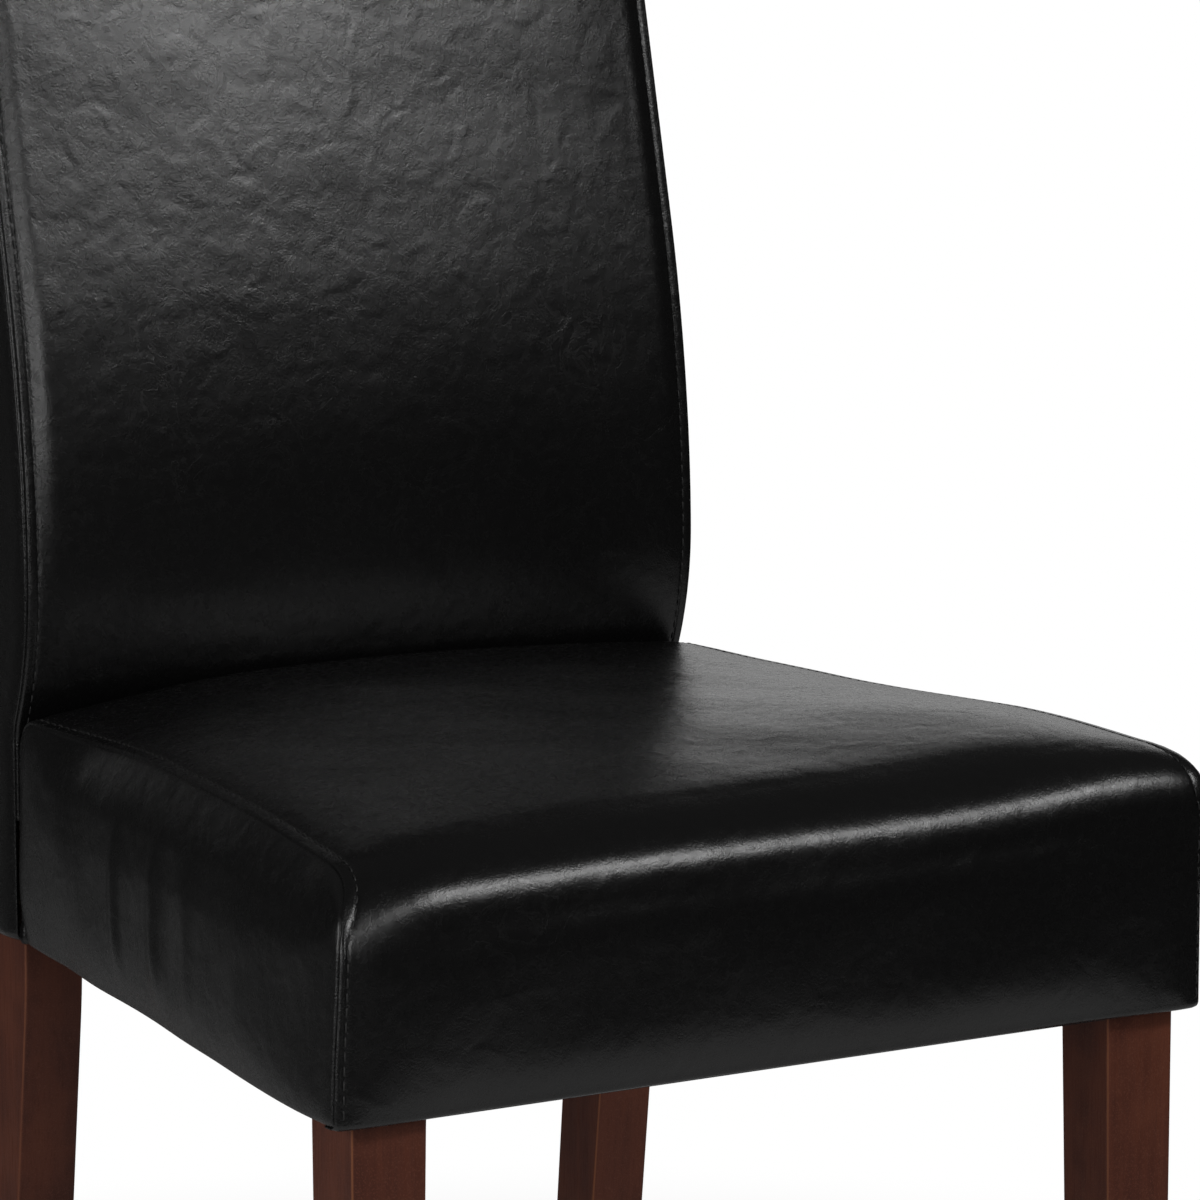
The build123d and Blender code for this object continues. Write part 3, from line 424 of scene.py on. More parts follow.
def nearest(points, line):  # every point's distance to a seam line, and the share along it
    count = int(lengths(line)[-1] / gridSet["seamSample"]) + 2
    dense = readLine(line, np.linspace(0, 1, count))
    tree = KDTree(len(dense))
    for index, place in enumerate(dense):
        tree.insert(place, index)
    tree.balance()
    found = np.array([tree.find(place)[1:] for place in points.reshape(-1, 3)])
    shape = points.shape[:2]
    return found[:, 1].reshape(shape), found[:, 0].reshape(shape) / (len(dense) - 1)


def sideGap(base):  # every point's distance to the nearer one of a panel's side seams
    return np.minimum(nearest(base, base[0])[0], nearest(base, base[-1])[0])


def gridMesh(name, points):
    rows, cols = points.shape[:2]
    i, j = np.meshgrid(np.arange(rows - 1), np.arange(cols - 1), indexing="ij")
    a = (i * cols + j).ravel()
    faces = np.stack([a, a + cols, a + cols + 1, a + 1], 1)
    mesh = bpy.data.meshes.new(name)
    mesh.from_pydata(points.reshape(-1, 3).tolist(), [], faces.tolist())
    mesh.shade_smooth()
    return mesh


def addPiece(name, mesh, coat, slot, *nodes):
    piece = bpy.data.objects.new(name, mesh)
    scene.collection.objects.link(piece)
    mesh.materials.append(finishes[coat])
    if nodes:
        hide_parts(*nodes)
    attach(piece, "root")
    return piece


clothSet = {"frames": 20, "quality": 6, "mass": 0.4, "stretch": 40.0, "bend": 4.0,
            "cell": 7 * mm, "quickShare": 0.8}


def filled(points, held, pressure, cap):  # how far each point rises when the panel is filled
    mesh = gridMesh("filling", points)
    body = bpy.data.objects.new("filling", mesh)
    scene.collection.objects.link(body)
    group = body.vertex_groups.new(name="held")
    for index, weight in enumerate(held.ravel()):
        group.add([index], float(weight), "REPLACE")
    cloth = body.modifiers.new("cloth", "CLOTH")
    cloth.settings.quality = clothSet["quality"]
    cloth.settings.mass = clothSet["mass"]
    cloth.settings.tension_stiffness = clothSet["stretch"]
    cloth.settings.compression_stiffness = clothSet["stretch"]
    cloth.settings.bending_stiffness = clothSet["bend"]
    cloth.settings.use_pressure = True
    cloth.settings.uniform_pressure_force = pressure
    cloth.settings.effector_weights.gravity = 0
    cloth.settings.vertex_group_mass = "held"
    cloth.collision_settings.use_collision = False
    cloth.point_cache.frame_end = clothSet["frames"]
    for number in range(1, clothSet["frames"] + 1):
        scene.frame_set(number)
    shaped = body.evaluated_get(bpy.context.evaluated_depsgraph_get()).data
    flat = np.empty(points.size, np.float32)
    shaped.vertices.foreach_get("co", flat)
    scene.frame_set(1)
    bpy.data.objects.remove(body)
    bpy.data.meshes.remove(mesh)
    rise = np.sum((flat.reshape(points.shape) - points) * outward(points), axis=2)
    print("  filled, raw rise", round(float(rise.max()) / mm, 1), "mm, kept to", round(cap / mm, 1))
    return cap * np.tanh(np.maximum(rise, 0) / cap)


def edgesHeld(base):
    held = np.ones(base.shape[:2])
    held[1:-1, 1:-1] = 0
    return held


def puff(points, u, v, pressure, cap, held):
    def pick(places, length):
        wanted = np.linspace(0, 1, int(length / clothSet["cell"]) + 1)
        return np.unique([int(np.argmin(abs(places - w))) for w in wanted])
    rowsKept = pick(u, lengths(points[:, points.shape[1] // 2])[-1])
    colsKept = pick(v, lengths(points[points.shape[0] // 2])[-1])
    chosen = np.ix_(rowsKept, colsKept)
    rise = filled(points[chosen], held[chosen], pressure, cap)
    whole = curved(rise, u[rowsKept], u)
    return curved(whole.T, v[colsKept], v).T


# a topstitched panel lies low from its seam to the stitches and swells up beyond them
seamSet = {"depth": 1.0 * mm, "sideDepth": 0.45 * mm, "lip": 0.6 * mm,
           "stitchAt": 6.2 * mm, "stitchDepth": 0.4 * mm, "stitchWide": 0.9 * mm,
           "swell": (5.0 * mm, 16 * mm), "plainDrop": 0.9 * mm, "plainReach": 9 * mm}


def seamLip(d):  # 1 in a seam, gone beside it
    return bell(d, 0, seamSet["lip"])


def sewn(d, flangeDrop=None):  # height of a panel at distance d from its seam
    h = -seamSet["depth"] * seamLip(d)
    if flangeDrop is None:
        return h - seamSet["plainDrop"] * fade(d, seamSet["plainReach"])
    h = h - flangeDrop * (1 - smooth(d, *seamSet["swell"]))
    return h - seamSet["stitchDepth"] * bell(d, seamSet["stitchAt"], seamSet["stitchWide"])


rippleSet = {"waves": 10, "lengths": (0.6, 1.7), "starts": (0, 6.28), "calm": 3}


def ripples(points, seed, size, height):  # low uneven waves, as in hide over foam
    draw = np.random.default_rng(seed)
    total = np.zeros(points.shape[:2])
    for wave in range(rippleSet["waves"]):
        way = draw.normal(size=3)
        way /= np.linalg.norm(way)
        length = size * draw.uniform(*rippleSet["lengths"])
        start = draw.uniform(*rippleSet["starts"])
        total += np.sin(points @ way * 2 * math.pi / length + start)
    return total * height / rippleSet["calm"]


# the leather's thickness, and how its edges turn under the frame and tuck in behind the seat
hideSet = {"thick": 1.0 * mm, "flatRows": 3, "roundRows": 5,
           "tuckDepths": (14 * mm, 7 * mm, 2 * mm)}


def underTurn(edge, inward, rounding, under):
    # rows that carry a panel round its lower edge and under the frame, innermost row first
    drop = np.array([0, 0, -rounding])
    depths = np.linspace(under, rounding, hideSet["flatRows"] + 1)[:-1]
    rows = [edge + inward * depth + drop for depth in depths]
    for angle in np.linspace(math.pi / 2, 0, hideSet["roundRows"] + 1)[:-1]:
        rows.append(edge + inward * rounding * (1 - math.cos(angle)) + drop * math.sin(angle))
    return np.swapaxes(np.array(rows), 0, 1)


def patch(front, top, rear, bottom, u, v):  # fills the four lines of a side panel's outline
    f, r = readLine(front, v)[None, :], readLine(rear, v)[None, :]
    b, t = readLine(bottom, u)[:, None], readLine(top, u)[:, None]
    uu, vv = u[:, None, None], v[None, :, None]
    corners = ((1 - uu) * (1 - vv) * f[:, :1] + uu * (1 - vv) * r[:, :1]
               + (1 - uu) * vv * f[:, -1:] + uu * vv * r[:, -1:])
    return (1 - vv) * b + vv * t + (1 - uu) * f + uu * r - corners


def turns(line):  # angle of a side-view line at each point, 90 is straight up
    step = np.gradient(line, axis=0)
    return np.degrees(np.arctan2(step[:, 2], step[:, 1]))


def closeSide(side, base, rise, edges, tuckFirst, tuckWay):
    # raises a side panel, turns its lower edge under, and tucks in the edge between seat and back
    rise[[0, -1]] = 0
    rise[:, -1] = 0
    out = outward(base)
    done = base + out * rise[..., None]
    turn = underTurn(done[:, 0], np.array([-side, 0, 0.0]), edges["edgeRound"], edges["turnUnder"])
    whole = np.concatenate([turn, done], 1)
    row = whole[0 if tuckFirst else -1]
    tucked = np.array([row + (-side * depth, tuckWay * hideSet["thick"], 0)
                       for depth in hideSet["tuckDepths"]])
    print("side panel sampled:", done.shape[:2], "faces out", middleWay(out, 0) * side > 0)
    return np.concatenate([tucked, whole] if tuckFirst else [whole, tucked[::-1]])


def addPanel(name, points, fillShare, *nodes):
    piece = addPiece(name, gridMesh(name, points), "leather", "leather", *nodes)
    hide = piece.modifiers.new("thickness", "SOLIDIFY")
    hide.thickness, hide.offset = hideSet["thick"], -1


# the seat: a waterfall panel over the top and front, and two side panels
# pairs say where a form starts and is full: mm from a seam, metres along the seat, or shares across
seatSet = {
    "topSeamIn": 13.0 * mm, "frontSeamIn": 0.6 * mm, "rearSeamIn": 2.0 * mm,  # corner to seam
    "rightShare": 0.3,  # of those, on the right hand side
    "seamClimb": (52 * mm, 14 * mm), "rearSpan": (0.06, 0.14),
    "step": 3.0 * mm, "rays": 420, "rayPasses": 3, "lines": 45, "nearEdge": (0.968, 0.98, 0.99),
    "axisShare": 0.45, "fitIn": 22 * mm, "fitPlaces": 24, "fitDegree": 3,
    "rearEnd": 58 * mm, "edgeRound": 3.0 * mm, "turnUnder": 9 * mm,
    "rise": 3.0 * mm, "pressure": 4.0, "still": (6 * mm, 30 * mm), "loose": (8 * mm, 40 * mm),
    "waves": (4, 90 * mm, 0.45 * mm),  # seed, length and height of the low waves
    "flangeDrop": 0.7 * mm, "edgeFall": 4.2 * mm, "fallReach": 50 * mm, "fallUpright": 0.3,
    "ridge": 2.5 * mm, "ridgeTurn": (62, 18), "ridgeIn": (6 * mm, 40 * mm),
    "rightCorner": 6.0 * mm, "cornerTurn": (48, 26), "cornerFrom": (0.55, 1.0),
    "frontSlope": 3.0 * mm, "slopeFrom": (0.13, 0.235),
    "footTuck": 2.4 * mm, "footReach": 28 * mm, "tuckIn": (8 * mm, 70 * mm),
    "facing": (0.5, 0.9), "facingFrom": (0.15, 0.2),
    "cornerFlare": 3.6 * mm, "flareReach": 90 * mm, "flareHeight": 95 * mm,  # left front corner
    # the cushion is not quite level
    "rightLift": 9.0 * mm, "liftAcross": (0.1, 0.9), "liftFrom": (0, 0.22),
    "rearDrop": 6.0 * mm, "dropAcross": (0.35, 1), "dropFrom": (-0.03, 0.12),
    "settleFrom": 45 * mm, "settleTo": 25 * mm,
}
seatTree = treeOf("seat_cover_top", "seat_cover_side_left", "seat_cover_side_right")
seatLow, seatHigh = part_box("seat_cover_top")
seatFront, seatRear, seatBottom = seatLow.y, seatHigh.y, seatLow.z
footZ = seatBottom + seatSet["edgeRound"]
axisY = (seatFront + seatRear) / 2
axisZ = seatBottom + seatSet["axisShare"] * (seatHigh.z - seatBottom)


def fitSides():  # the seat's half width, as a curve along its depth
    first, last = seatFront + seatSet["fitIn"], seatRear - seatSet["fitIn"]
    places = np.linspace(first, last, seatSet["fitPlaces"])
    halves = [-cast(seatTree, (-1, y, axisZ), (1, 0, 0))[0] for y in places]
    return np.polyfit(places, halves, seatSet["fitDegree"])


sideFit = fitSides()


def seamHalf(y, z, side):  # half the waterfall panel's width at a place along it
    below, above = seatSet["seamClimb"]
    onTop = smooth(z, seatHigh.z - below, seatHigh.z - above)
    inset = seatSet["frontSeamIn"] + (seatSet["topSeamIn"] - seatSet["frontSeamIn"]) * onTop
    inset = inset + (seatSet["rearSeamIn"] - inset) * smooth(y, *seatSet["rearSpan"])
    return np.polyval(sideFit, y) - inset * (seatSet["rightShare"] if side > 0 else 1)


def waterfallLine(share):  # up the front, over the top and down the rear
    first = math.atan2(footZ - axisZ, axisY - seatFront)
    last = math.pi - math.atan2(seatBottom + seatSet["rearEnd"] - axisZ, seatRear - axisY)
    points, y, z = [], seatFront, footZ
    for angle in np.linspace(first, last, seatSet["rays"]):
        way = np.array([0, -math.cos(angle), math.sin(angle)])
        for again in range(seatSet["rayPasses"]):  # the width changes, so each hit corrects x
            start = np.array([share * seamHalf(y, z, share), axisY, axisZ])
            hit = cast(seatTree, start + way, -way)
            y, z = hit[1:]
        points.append(hit)
    return np.array(points)


def footIn(z):  # how far the lower edge is tucked in
    return seatSet["footTuck"] * fade(z - footZ, seatSet["footReach"])


def lowDown(z):  # 1 at the lower edge, where the left front corner stands out
    return 1 - smooth(z, footZ, seatBottom + seatSet["flareHeight"])


def shapeTop(base, u, v):
    out, seamGap = outward(base), sideGap(base)
    y, z, across = base[..., 1], base[..., 2], (u * 2 - 1)[:, None]
    rearGap = np.maximum(seatRear - y, 0)
    level = np.clip(out[..., 2], 0, 1)
    turned = np.degrees(np.arctan2(-out[..., 1], out[..., 2]))  # 0 on the top, 90 on the front
    held = np.maximum(edgesHeld(base), 1 - smooth(rearGap, *seatSet["still"]))
    rise = puff(base, u, v, seatSet["pressure"], seatSet["rise"], held)
    loose = smooth(seamGap, *seatSet["loose"]) * smooth(rearGap, *seatSet["loose"])
    rise = rise + sewn(seamGap, seatSet["flangeDrop"]) + ripples(base, *seatSet["waves"]) * loose

    ridgeIn = np.where(across > 0, 1, smooth(seamGap, *seatSet["ridgeIn"]))
    ridge = seatSet["ridge"] * bell(turned, *seatSet["ridgeTurn"]) * ridgeIn
    corner = seatSet["rightCorner"] * bell(turned, *seatSet["cornerTurn"])
    ridge = ridge + corner * smooth(across, *seatSet["cornerFrom"])
    slope = seatSet["frontSlope"] * smooth(-y, *seatSet["slopeFrom"]) * level ** 2
    fall = seatSet["edgeFall"] * fade(seamGap, seatSet["fallReach"])
    fall = fall * (1 - smooth(y, *seatSet["rearSpan"]))
    fall = fall * np.where(across > 0, seatSet["rightShare"], 1.0)
    fall = fall * (seatSet["fallUpright"] + (1 - seatSet["fallUpright"]) * level)
    facing = smooth(-out[..., 1], *seatSet["facing"]) * smooth(-y, *seatSet["facingFrom"])
    tuck = footIn(z) * facing * smooth(seamGap, *seatSet["tuckIn"])
    done = base + out * (rise + ridge - slope - fall - tuck)[..., None]

    lift = seatSet["rightLift"] * smooth(across, *seatSet["liftAcross"])
    drop = seatSet["rearDrop"] * smooth(-across, *seatSet["dropAcross"])
    settle = lift * smooth(-y, *seatSet["liftFrom"]) - drop * smooth(y, *seatSet["dropFrom"])
    lowest, highest = seatBottom + seatSet["settleFrom"], seatHigh.z - seatSet["settleTo"]
    done[..., 2] += settle * smooth(z, lowest, highest)
    done[..., 0] -= np.sign(across) * seamSet["sideDepth"] * seamLip(seamGap)
    flare = np.sign(across) * seatSet["cornerFlare"] * fade(seamGap, seatSet["flareReach"])
    done[..., 0] += flare * lowDown(z) * (across < 0)
    return done, out, seamGap


seatU = spread(2 * float(seamHalf(seatFront, footZ, 1)), True, True, seatSet["step"])
seatShares = sharesOf(seatSet["lines"], seatSet["nearEdge"])
topBase, seatV = gridOf(waterfallLine, seatShares, seatU, (False, False), seatSet["step"])
topDone, topOut, topGap = shapeTop(topBase, seatU, seatV)
topTurn = underTurn(topDone[:, 0], np.array([0, 1.0, 0]),
                    seatSet["edgeRound"], seatSet["turnUnder"])
addPanel("seat_waterfall_panel", np.concatenate([topTurn, topDone], 1), 0.9,
         "seat_cover_top", "seat_foam", "seat_padding_front")
print("seat panel laid:", topBase.shape[:2], "faces up", middleWay(topOut, 2) > 0)

seatSideSet = {
    "step": 2.5 * mm, "rise": 2.2 * mm, "pressure": 12.0, "topTurns": (45, -45),
    "shoulder": 38 * mm, "seamRoll": 6 * mm, "rollShare": 0.3, "rollFrom": (0.30, 0.12),
    "rearReach": 14 * mm, "behind": (60 * mm, 260 * mm),
    "waves": (7, 60 * mm, 0.3 * mm), "loose": (6 * mm, 30 * mm),
    # each fold: its place along the side in metres, its height and its width in mm
    "leftFolds": [(0.000, 1.8, 6.0), (-0.024, -0.4, 9.0), (-0.053, 1.8, 6.5), (-0.074, -0.4, 8.0),
                  (-0.094, 0.9, 8.0), (0.044, -0.3, 12.0), (0.078, 0.4, 12.0), (-0.160, 0.4, 16.0)],
    "rightFolds": [(0.060, 0.9, 11.0), (0.028, -0.6, 10.0), (-0.006, 0.8, 11.0),
                   (-0.120, 0.5, 15.0)],
    "foldLean": 0.006, "foldPivot": 0.6, "foldFrom": (0.04, 0.3), "foldTo": (0.5, 0.74),
}


def seatSideWall(side, base, gap, along, seam, rear):  # how far out the panel stands at each point
    y, z = base[..., 1], base[..., 2]
    run = lengths(seam)
    inset = np.polyval(sideFit, seam[:, 1]) - abs(seam[:, 0])
    inset = np.interp(along * run[-1], run, inset)
    # up the front the panel rolls closely into its seam
    closely = seatSideSet["rollShare"] * smooth(along, *seatSideSet["rollFrom"])
    rolled = (1 - closely) * fade(gap, seatSideSet["shoulder"]) \
        + closely * fade(gap, seatSideSet["seamRoll"])
    wall = np.polyval(sideFit, y) - (inset - seamSet["sideDepth"]) * rolled
    wall = wall - seamSet["sideDepth"] * seamLip(gap)
    rearGap = nearest(base, rear)[0]
    wall = wall - seatSet["rearSeamIn"] * fade(rearGap, seatSideSet["rearReach"]) * (1 - rolled)
    behind = smooth(y - seatFront, *seatSideSet["behind"])  # the foot stands out only in front
    wall = wall - footIn(z) * behind
    return wall + seatSet["cornerFlare"] * (1 - rolled) * (1 - behind) * lowDown(z) * (side < 0)


def seatSide(side, edge, folds):
    bend = turns(edge)
    frontTop, rearTop = [int(np.argmax(bend < turn)) for turn in seatSideSet["topTurns"]]
    seam, front, top = edge[:rearTop + 1], edge[:frontTop + 1], edge[frontTop:rearTop + 1]
    foot = edge[-1] * (1, 1, 0) + np.array([0, 0, footZ])
    rear = np.concatenate([edge[rearTop:], foot[None]])[::-1]
    bottom = np.stack([front[0], foot])
    u = spread(lengths(bottom)[-1], True, True, seatSet["step"])
    v = spread(lengths(rear)[-1], False, True, seatSideSet["step"])
    base = patch(front, top, rear, bottom, u, v)
    gap, along = nearest(base, seam)
    wall = seatSideWall(side, base, gap, along, seam, rear)
    base[1:-1, :-1, 0] = side * wall[1:-1, :-1]
    if side < 0:  # keep the grid's outward side outward
        base, u, gap = base[::-1], 1 - u[::-1], gap[::-1]
    rise = puff(base, u, v, seatSideSet["pressure"], seatSideSet["rise"], edgesHeld(base))
    up = (base[..., 2] - seatBottom) / (seatHigh.z - seatBottom)
    between = smooth(up, *seatSideSet["foldFrom"]) * (1 - smooth(up, *seatSideSet["foldTo"]))
    for place, height, width in folds:
        middle = place - seatSideSet["foldLean"] * (seatSideSet["foldPivot"] - up)
        rise = rise + height * mm * bell(base[..., 1], middle, width * mm) * between
    seed, size, tall = seatSideSet["waves"]
    rise = rise + ripples(base, seed + side, size, tall) * smooth(gap, *seatSideSet["loose"])
    return closeSide(side, base, rise, seatSet, side < 0, -1)


addPanel("seat_side_panel_left", seatSide(-1, topDone[0], seatSideSet["leftFolds"]), 0.8,
         "seat_cover_side_left", "seat_padding_left")
addPanel("seat_side_panel_right", seatSide(1, topDone[-1], seatSideSet["rightFolds"]), 0.8,
         "seat_cover_side_right", "seat_padding_right")

# the back: a front panel carried over the top, a rear panel and two side panels
backSet = {
    "step": 3.0 * mm, "lines": 33, "nearEdge": (0.965, 0.982, 0.992),
    "frontRays": 260, "archRays": 90, "rearRays": 240, "archDrop": 14 * mm,
    "hidden": 70 * mm,  # how far the front panel runs on below the seat's top
    "edgeRound": 4.5 * mm, "turnUnder": 10 * mm,
    "frontRise": 2.2 * mm, "frontPressure": 2.0,
    "frontWaves": (11, 80 * mm, 0.2 * mm), "frontLoose": (8 * mm, 40 * mm),
    "rearRise": 1.4 * mm, "rearPressure": 2.0,
    "rearWaves": (13, 90 * mm, 0.4 * mm), "rearLoose": (6 * mm, 40 * mm),
    "seatMeet": (6 * mm, 45 * mm),  # below and above the seat's top, where the panel lies still
    "flangeDrop": 2.3 * mm, "flangeMeet": (5 * mm, 170 * mm),
    "rightSpread": 3.4 * mm, "spreadFrom": (0.6, 1),
}
backTree = treeOf("back_cover_front", "back_cover_rear",
                  "back_cover_side_left", "back_cover_side_right")
backLow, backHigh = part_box("back_cover_front")
backBottom, backHalf = backLow.z, backHigh.x
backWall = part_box("back_cover_side_right")[1].x
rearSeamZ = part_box("back_cover_rear")[1].z
seatTopRear = float(topBase[len(seatU) // 2, :, 2].max())
archZ = rearSeamZ - backSet["archDrop"]
archFront = cast(backTree, (0, -1, archZ), (0, 1, 0))[1]
archRear = cast(backTree, (0, 1, archZ), (0, -1, 0))[1]
archY = (archFront + archRear) / 2


def frontLine(share):  # up the front and over the top to the rear seam
    x = share * backHalf
    heights = np.linspace(seatTopRear - backSet["hidden"], archZ, backSet["frontRays"])
    points = [cast(backTree, (x, -1, z), (0, 1, 0)) for z in heights]
    last = math.pi - math.atan2(rearSeamZ - archZ, archRear - archY)
    for angle in np.linspace(0, last, backSet["archRays"])[1:]:
        way = np.array([0, -math.cos(angle), math.sin(angle)])
        points.append(cast(backTree, np.array([x, archY, archZ]) + way, -way))
    return np.array(points)


def rearLine(share):  # from the rear seam down to the lower edge
    heights = np.linspace(rearSeamZ, backBottom + backSet["edgeRound"], backSet["rearRays"])
    return np.array([cast(backTree, (share * backHalf, 1, z), (0, -1, 0)) for z in heights])


def clearOfSeat(z, below, above):  # 0 behind the seat, 1 clear of its top
    return smooth(z, seatTopRear - below, seatTopRear + above)


def spreadRight(points):  # the right hand side stands out a little further
    points[..., 0] += backSet["rightSpread"] * smooth(backU, *backSet["spreadFrom"])[:, None]
    return points


def shapeFront(base, v):
    out, gap = outward(base), sideGap(base)
    free = clearOfSeat(base[..., 2], *backSet["seatMeet"])
    held = np.maximum(edgesHeld(base), 1 - free)
    rise = puff(base, backU, v, backSet["frontPressure"], backSet["frontRise"], held)
    waves = ripples(base, *backSet["frontWaves"]) * free * smooth(gap, *backSet["frontLoose"])
    flange = backSet["flangeDrop"] * clearOfSeat(base[..., 2], *backSet["flangeMeet"])
    rise = rise * free + waves + sewn(gap, flange) + sewn(nearest(base, base[:, -1])[0])
    return spreadRight(base + out * rise[..., None]), out, gap


def shapeRear(base, v):
    out = outward(base)
    gap = np.minimum(sideGap(base), nearest(base, base[:, 0])[0])
    rise = puff(base, backU, v, backSet["rearPressure"], backSet["rearRise"], edgesHeld(base))
    waves = ripples(base, *backSet["rearWaves"]) * smooth(gap, *backSet["rearLoose"])
    rise = rise + waves + sewn(gap)
    return spreadRight(base + out * rise[..., None]), out


backU = spread(2 * backHalf, True, True, backSet["step"])
backShares = sharesOf(backSet["lines"], backSet["nearEdge"])
frontBase, frontV = gridOf(frontLine, backShares, backU, (False, True), backSet["step"])
rearBase, rearV = gridOf(rearLine, backShares, backU, (True, False), backSet["step"])
frontDone, frontOut, frontGap = shapeFront(frontBase, frontV)
addPanel("back_front_panel", frontDone, 0.8, "back_cover_front", "back_foam", "back_wadding_wrap")
rearDone, rearOut = shapeRear(rearBase, rearV)
rearTurn = underTurn(rearDone[:, -1], np.array([0, -1.0, 0]),
                     backSet["edgeRound"], backSet["turnUnder"])
addPanel("back_rear_panel_cover", np.concatenate([rearDone, rearTurn[:, ::-1]], 1), 0.5,
         "back_cover_rear")
print("back panels laid:", frontBase.shape[:2], rearBase.shape[:2],
      "face out", middleWay(frontOut, 1) < 0, middleWay(rearOut, 1) > 0)

backSideSet = {
    "width": 50 * mm, "step": 2.5 * mm, "rise": 1.6 * mm, "pressure": 14.0, "topTurns": (45, -35),
    "reach": 12 * mm, "seatMeet": (30 * mm, 10 * mm), "lowRise": 0.35,  # filled less by the seat
    "waves": (17, 55 * mm, 0.22 * mm), "loose": (4 * mm, 14 * mm),
}


def backSide(side, frontEdge, rearEdge):
    bend = turns(frontEdge)
    overFront, overRear = [bend < turn for turn in backSideSet["topTurns"]]
    frontTop = int(np.argmax(overFront))
    rearTop = int(np.argmax(overRear)) if overRear.any() else len(frontEdge) - 1
    start = frontEdge[0] * (1, 1, 0) + np.array([0, 0, backBottom + backSet["edgeRound"]])
    front = np.concatenate([start[None], frontEdge[:frontTop + 1]])
    top = frontEdge[frontTop:rearTop + 1]
    rear = np.concatenate([frontEdge[rearTop:-1], rearEdge])[::-1]
    bottom = np.stack([front[0], rear[0]])
    u = spread(backSideSet["width"], True, True, backSideSet["step"])
    v = spread(lengths(front)[-1], False, True, backSet["step"])
    base = patch(front, top, rear, bottom, u, v)
    gap = np.min([nearest(base, line)[0] for line in (front, top, rear)], 0)
    extra = backSet["rightSpread"] * (side > 0)
    wall = backWall + extra - (backWall - backHalf) * fade(gap, backSideSet["reach"])
    base[1:-1, :-1, 0] = side * wall[1:-1, :-1]
    if side < 0:
        base, u, gap = base[::-1], 1 - u[::-1], gap[::-1]
    rise = puff(base, u, v, backSideSet["pressure"], backSideSet["rise"], edgesHeld(base))
    free = clearOfSeat(base[..., 2], *backSideSet["seatMeet"])
    rise = rise * (backSideSet["lowRise"] + (1 - backSideSet["lowRise"]) * free)
    seed, size, tall = backSideSet["waves"]
    rise = rise + ripples(base, seed + side, size, tall) * smooth(gap, *backSideSet["loose"])
    return closeSide(side, base, rise, backSet, side > 0, 1)


addPanel("back_side_panel_left", backSide(-1, frontDone[0], rearDone[0]), 0.6,
         "back_cover_side_left")
addPanel("back_side_panel_right", backSide(1, frontDone[-1], rearDone[-1]), 0.6,
         "back_cover_side_right")

stitchSet = {"pitch": 6.5 * mm, "length": 5.0 * mm, "radius": 0.42 * mm, "rings": 7, "sides": 6,
             "sunk": 0.30 * mm, "proud": 0.28 * mm, "firstAt": 0.7, "lookAhead": 0.5 * mm,
             "archPower": 2.5, "tipShare": 0.45}


def stitchRings(line, out, number):  # the rings of corners round one stitch of a row
    run = lengths(line)

    def read(values, place):
        return np.array([np.interp(place, run, values[:, c]) for c in range(3)])
    corners, tip = [], stitchSet["tipShare"]
    for share in [r / (stitchSet["rings"] - 1) * 2 - 1 for r in range(stitchSet["rings"])]:
        middle = (number + stitchSet["firstAt"]) * stitchSet["pitch"]
        place = middle + share * stitchSet["length"] / 2
        at = read(line, place)
        ahead = read(line, place + stitchSet["lookAhead"]) - at
        ahead /= np.linalg.norm(ahead)
        sideways = np.cross(ahead, read(out, place))
        sideways /= np.linalg.norm(sideways)
        up = np.cross(sideways, ahead)
        arch = 1 - abs(share) ** stitchSet["archPower"]
        centre = at + up * (stitchSet["proud"] * arch - stitchSet["sunk"] * (1 - arch))
        thick = stitchSet["radius"] * (tip + (1 - tip) * math.sqrt(max(1 - share**4, 0)))
        for a in np.linspace(0, 2 * math.pi, stitchSet["sides"], endpoint=False):
            corners.append(centre + (sideways * math.cos(a) + up * math.sin(a)) * thick)
    return corners


def stitchRows(name, rows):  # each row: the line its stitches follow and the outward way along it
    corners, faces = [], []
    rings, sides = stitchSet["rings"], stitchSet["sides"]
    for line, out in rows:
        count = int((lengths(line)[-1] - stitchSet["length"]) / stitchSet["pitch"])
        for number in range(count):
            start = len(corners)
            corners += stitchRings(line, out, number)
            for r in range(rings - 1):
                a, b = start + r * sides, start + (r + 1) * sides
                faces += [(a + s, a + (s + 1) % sides, b + (s + 1) % sides, b + s)
                          for s in range(sides)]
            faces.append(tuple(start + s for s in reversed(range(sides))))
            faces.append(tuple(start + (rings - 1) * sides + s for s in range(sides)))
    mesh = bpy.data.meshes.new(name)
    mesh.from_pydata([c.tolist() for c in corners], [], faces)
    mesh.shade_smooth()
    addPiece(name, mesh, "thread", "leather")
    print("stitching laid:", name, len(faces), "faces")


def seamRow(done, out, gapGrid, fromRight):
    # the line on a finished panel that lies the stitch distance in from its seam
    order = slice(None, None, -1) if fromRight else slice(None)
    half = len(done) // 2
    gap, points, ways = [grid[order][:half] for grid in (gapGrid, done, out)]

    def read(values):
        return np.array([[np.interp(seamSet["stitchAt"], gap[:, j], values[:, j, c])
                          for c in range(3)] for j in range(values.shape[1])])
    return read(points), read(ways)


stitchRows("seat_topstitching",
           [seamRow(topDone, topOut, topGap, right) for right in (False, True)])
stitchRows("back_topstitching",
           [seamRow(frontDone, frontOut, frontGap, right) for right in (False, True)])

# woven straps, laid where the frame's straps run
strapSet = {"station": 5 * mm, "lanes": 7, "selvedge": 0.35 * mm, "sag": 0.15 * mm,
            "shortest": 100 * mm, "weld": 0.001 * mm, "rayInset": 0.3 * mm,
            "usualThick": (0.5, 1.6)}  # outside these shares of the thickness a ray met a hole


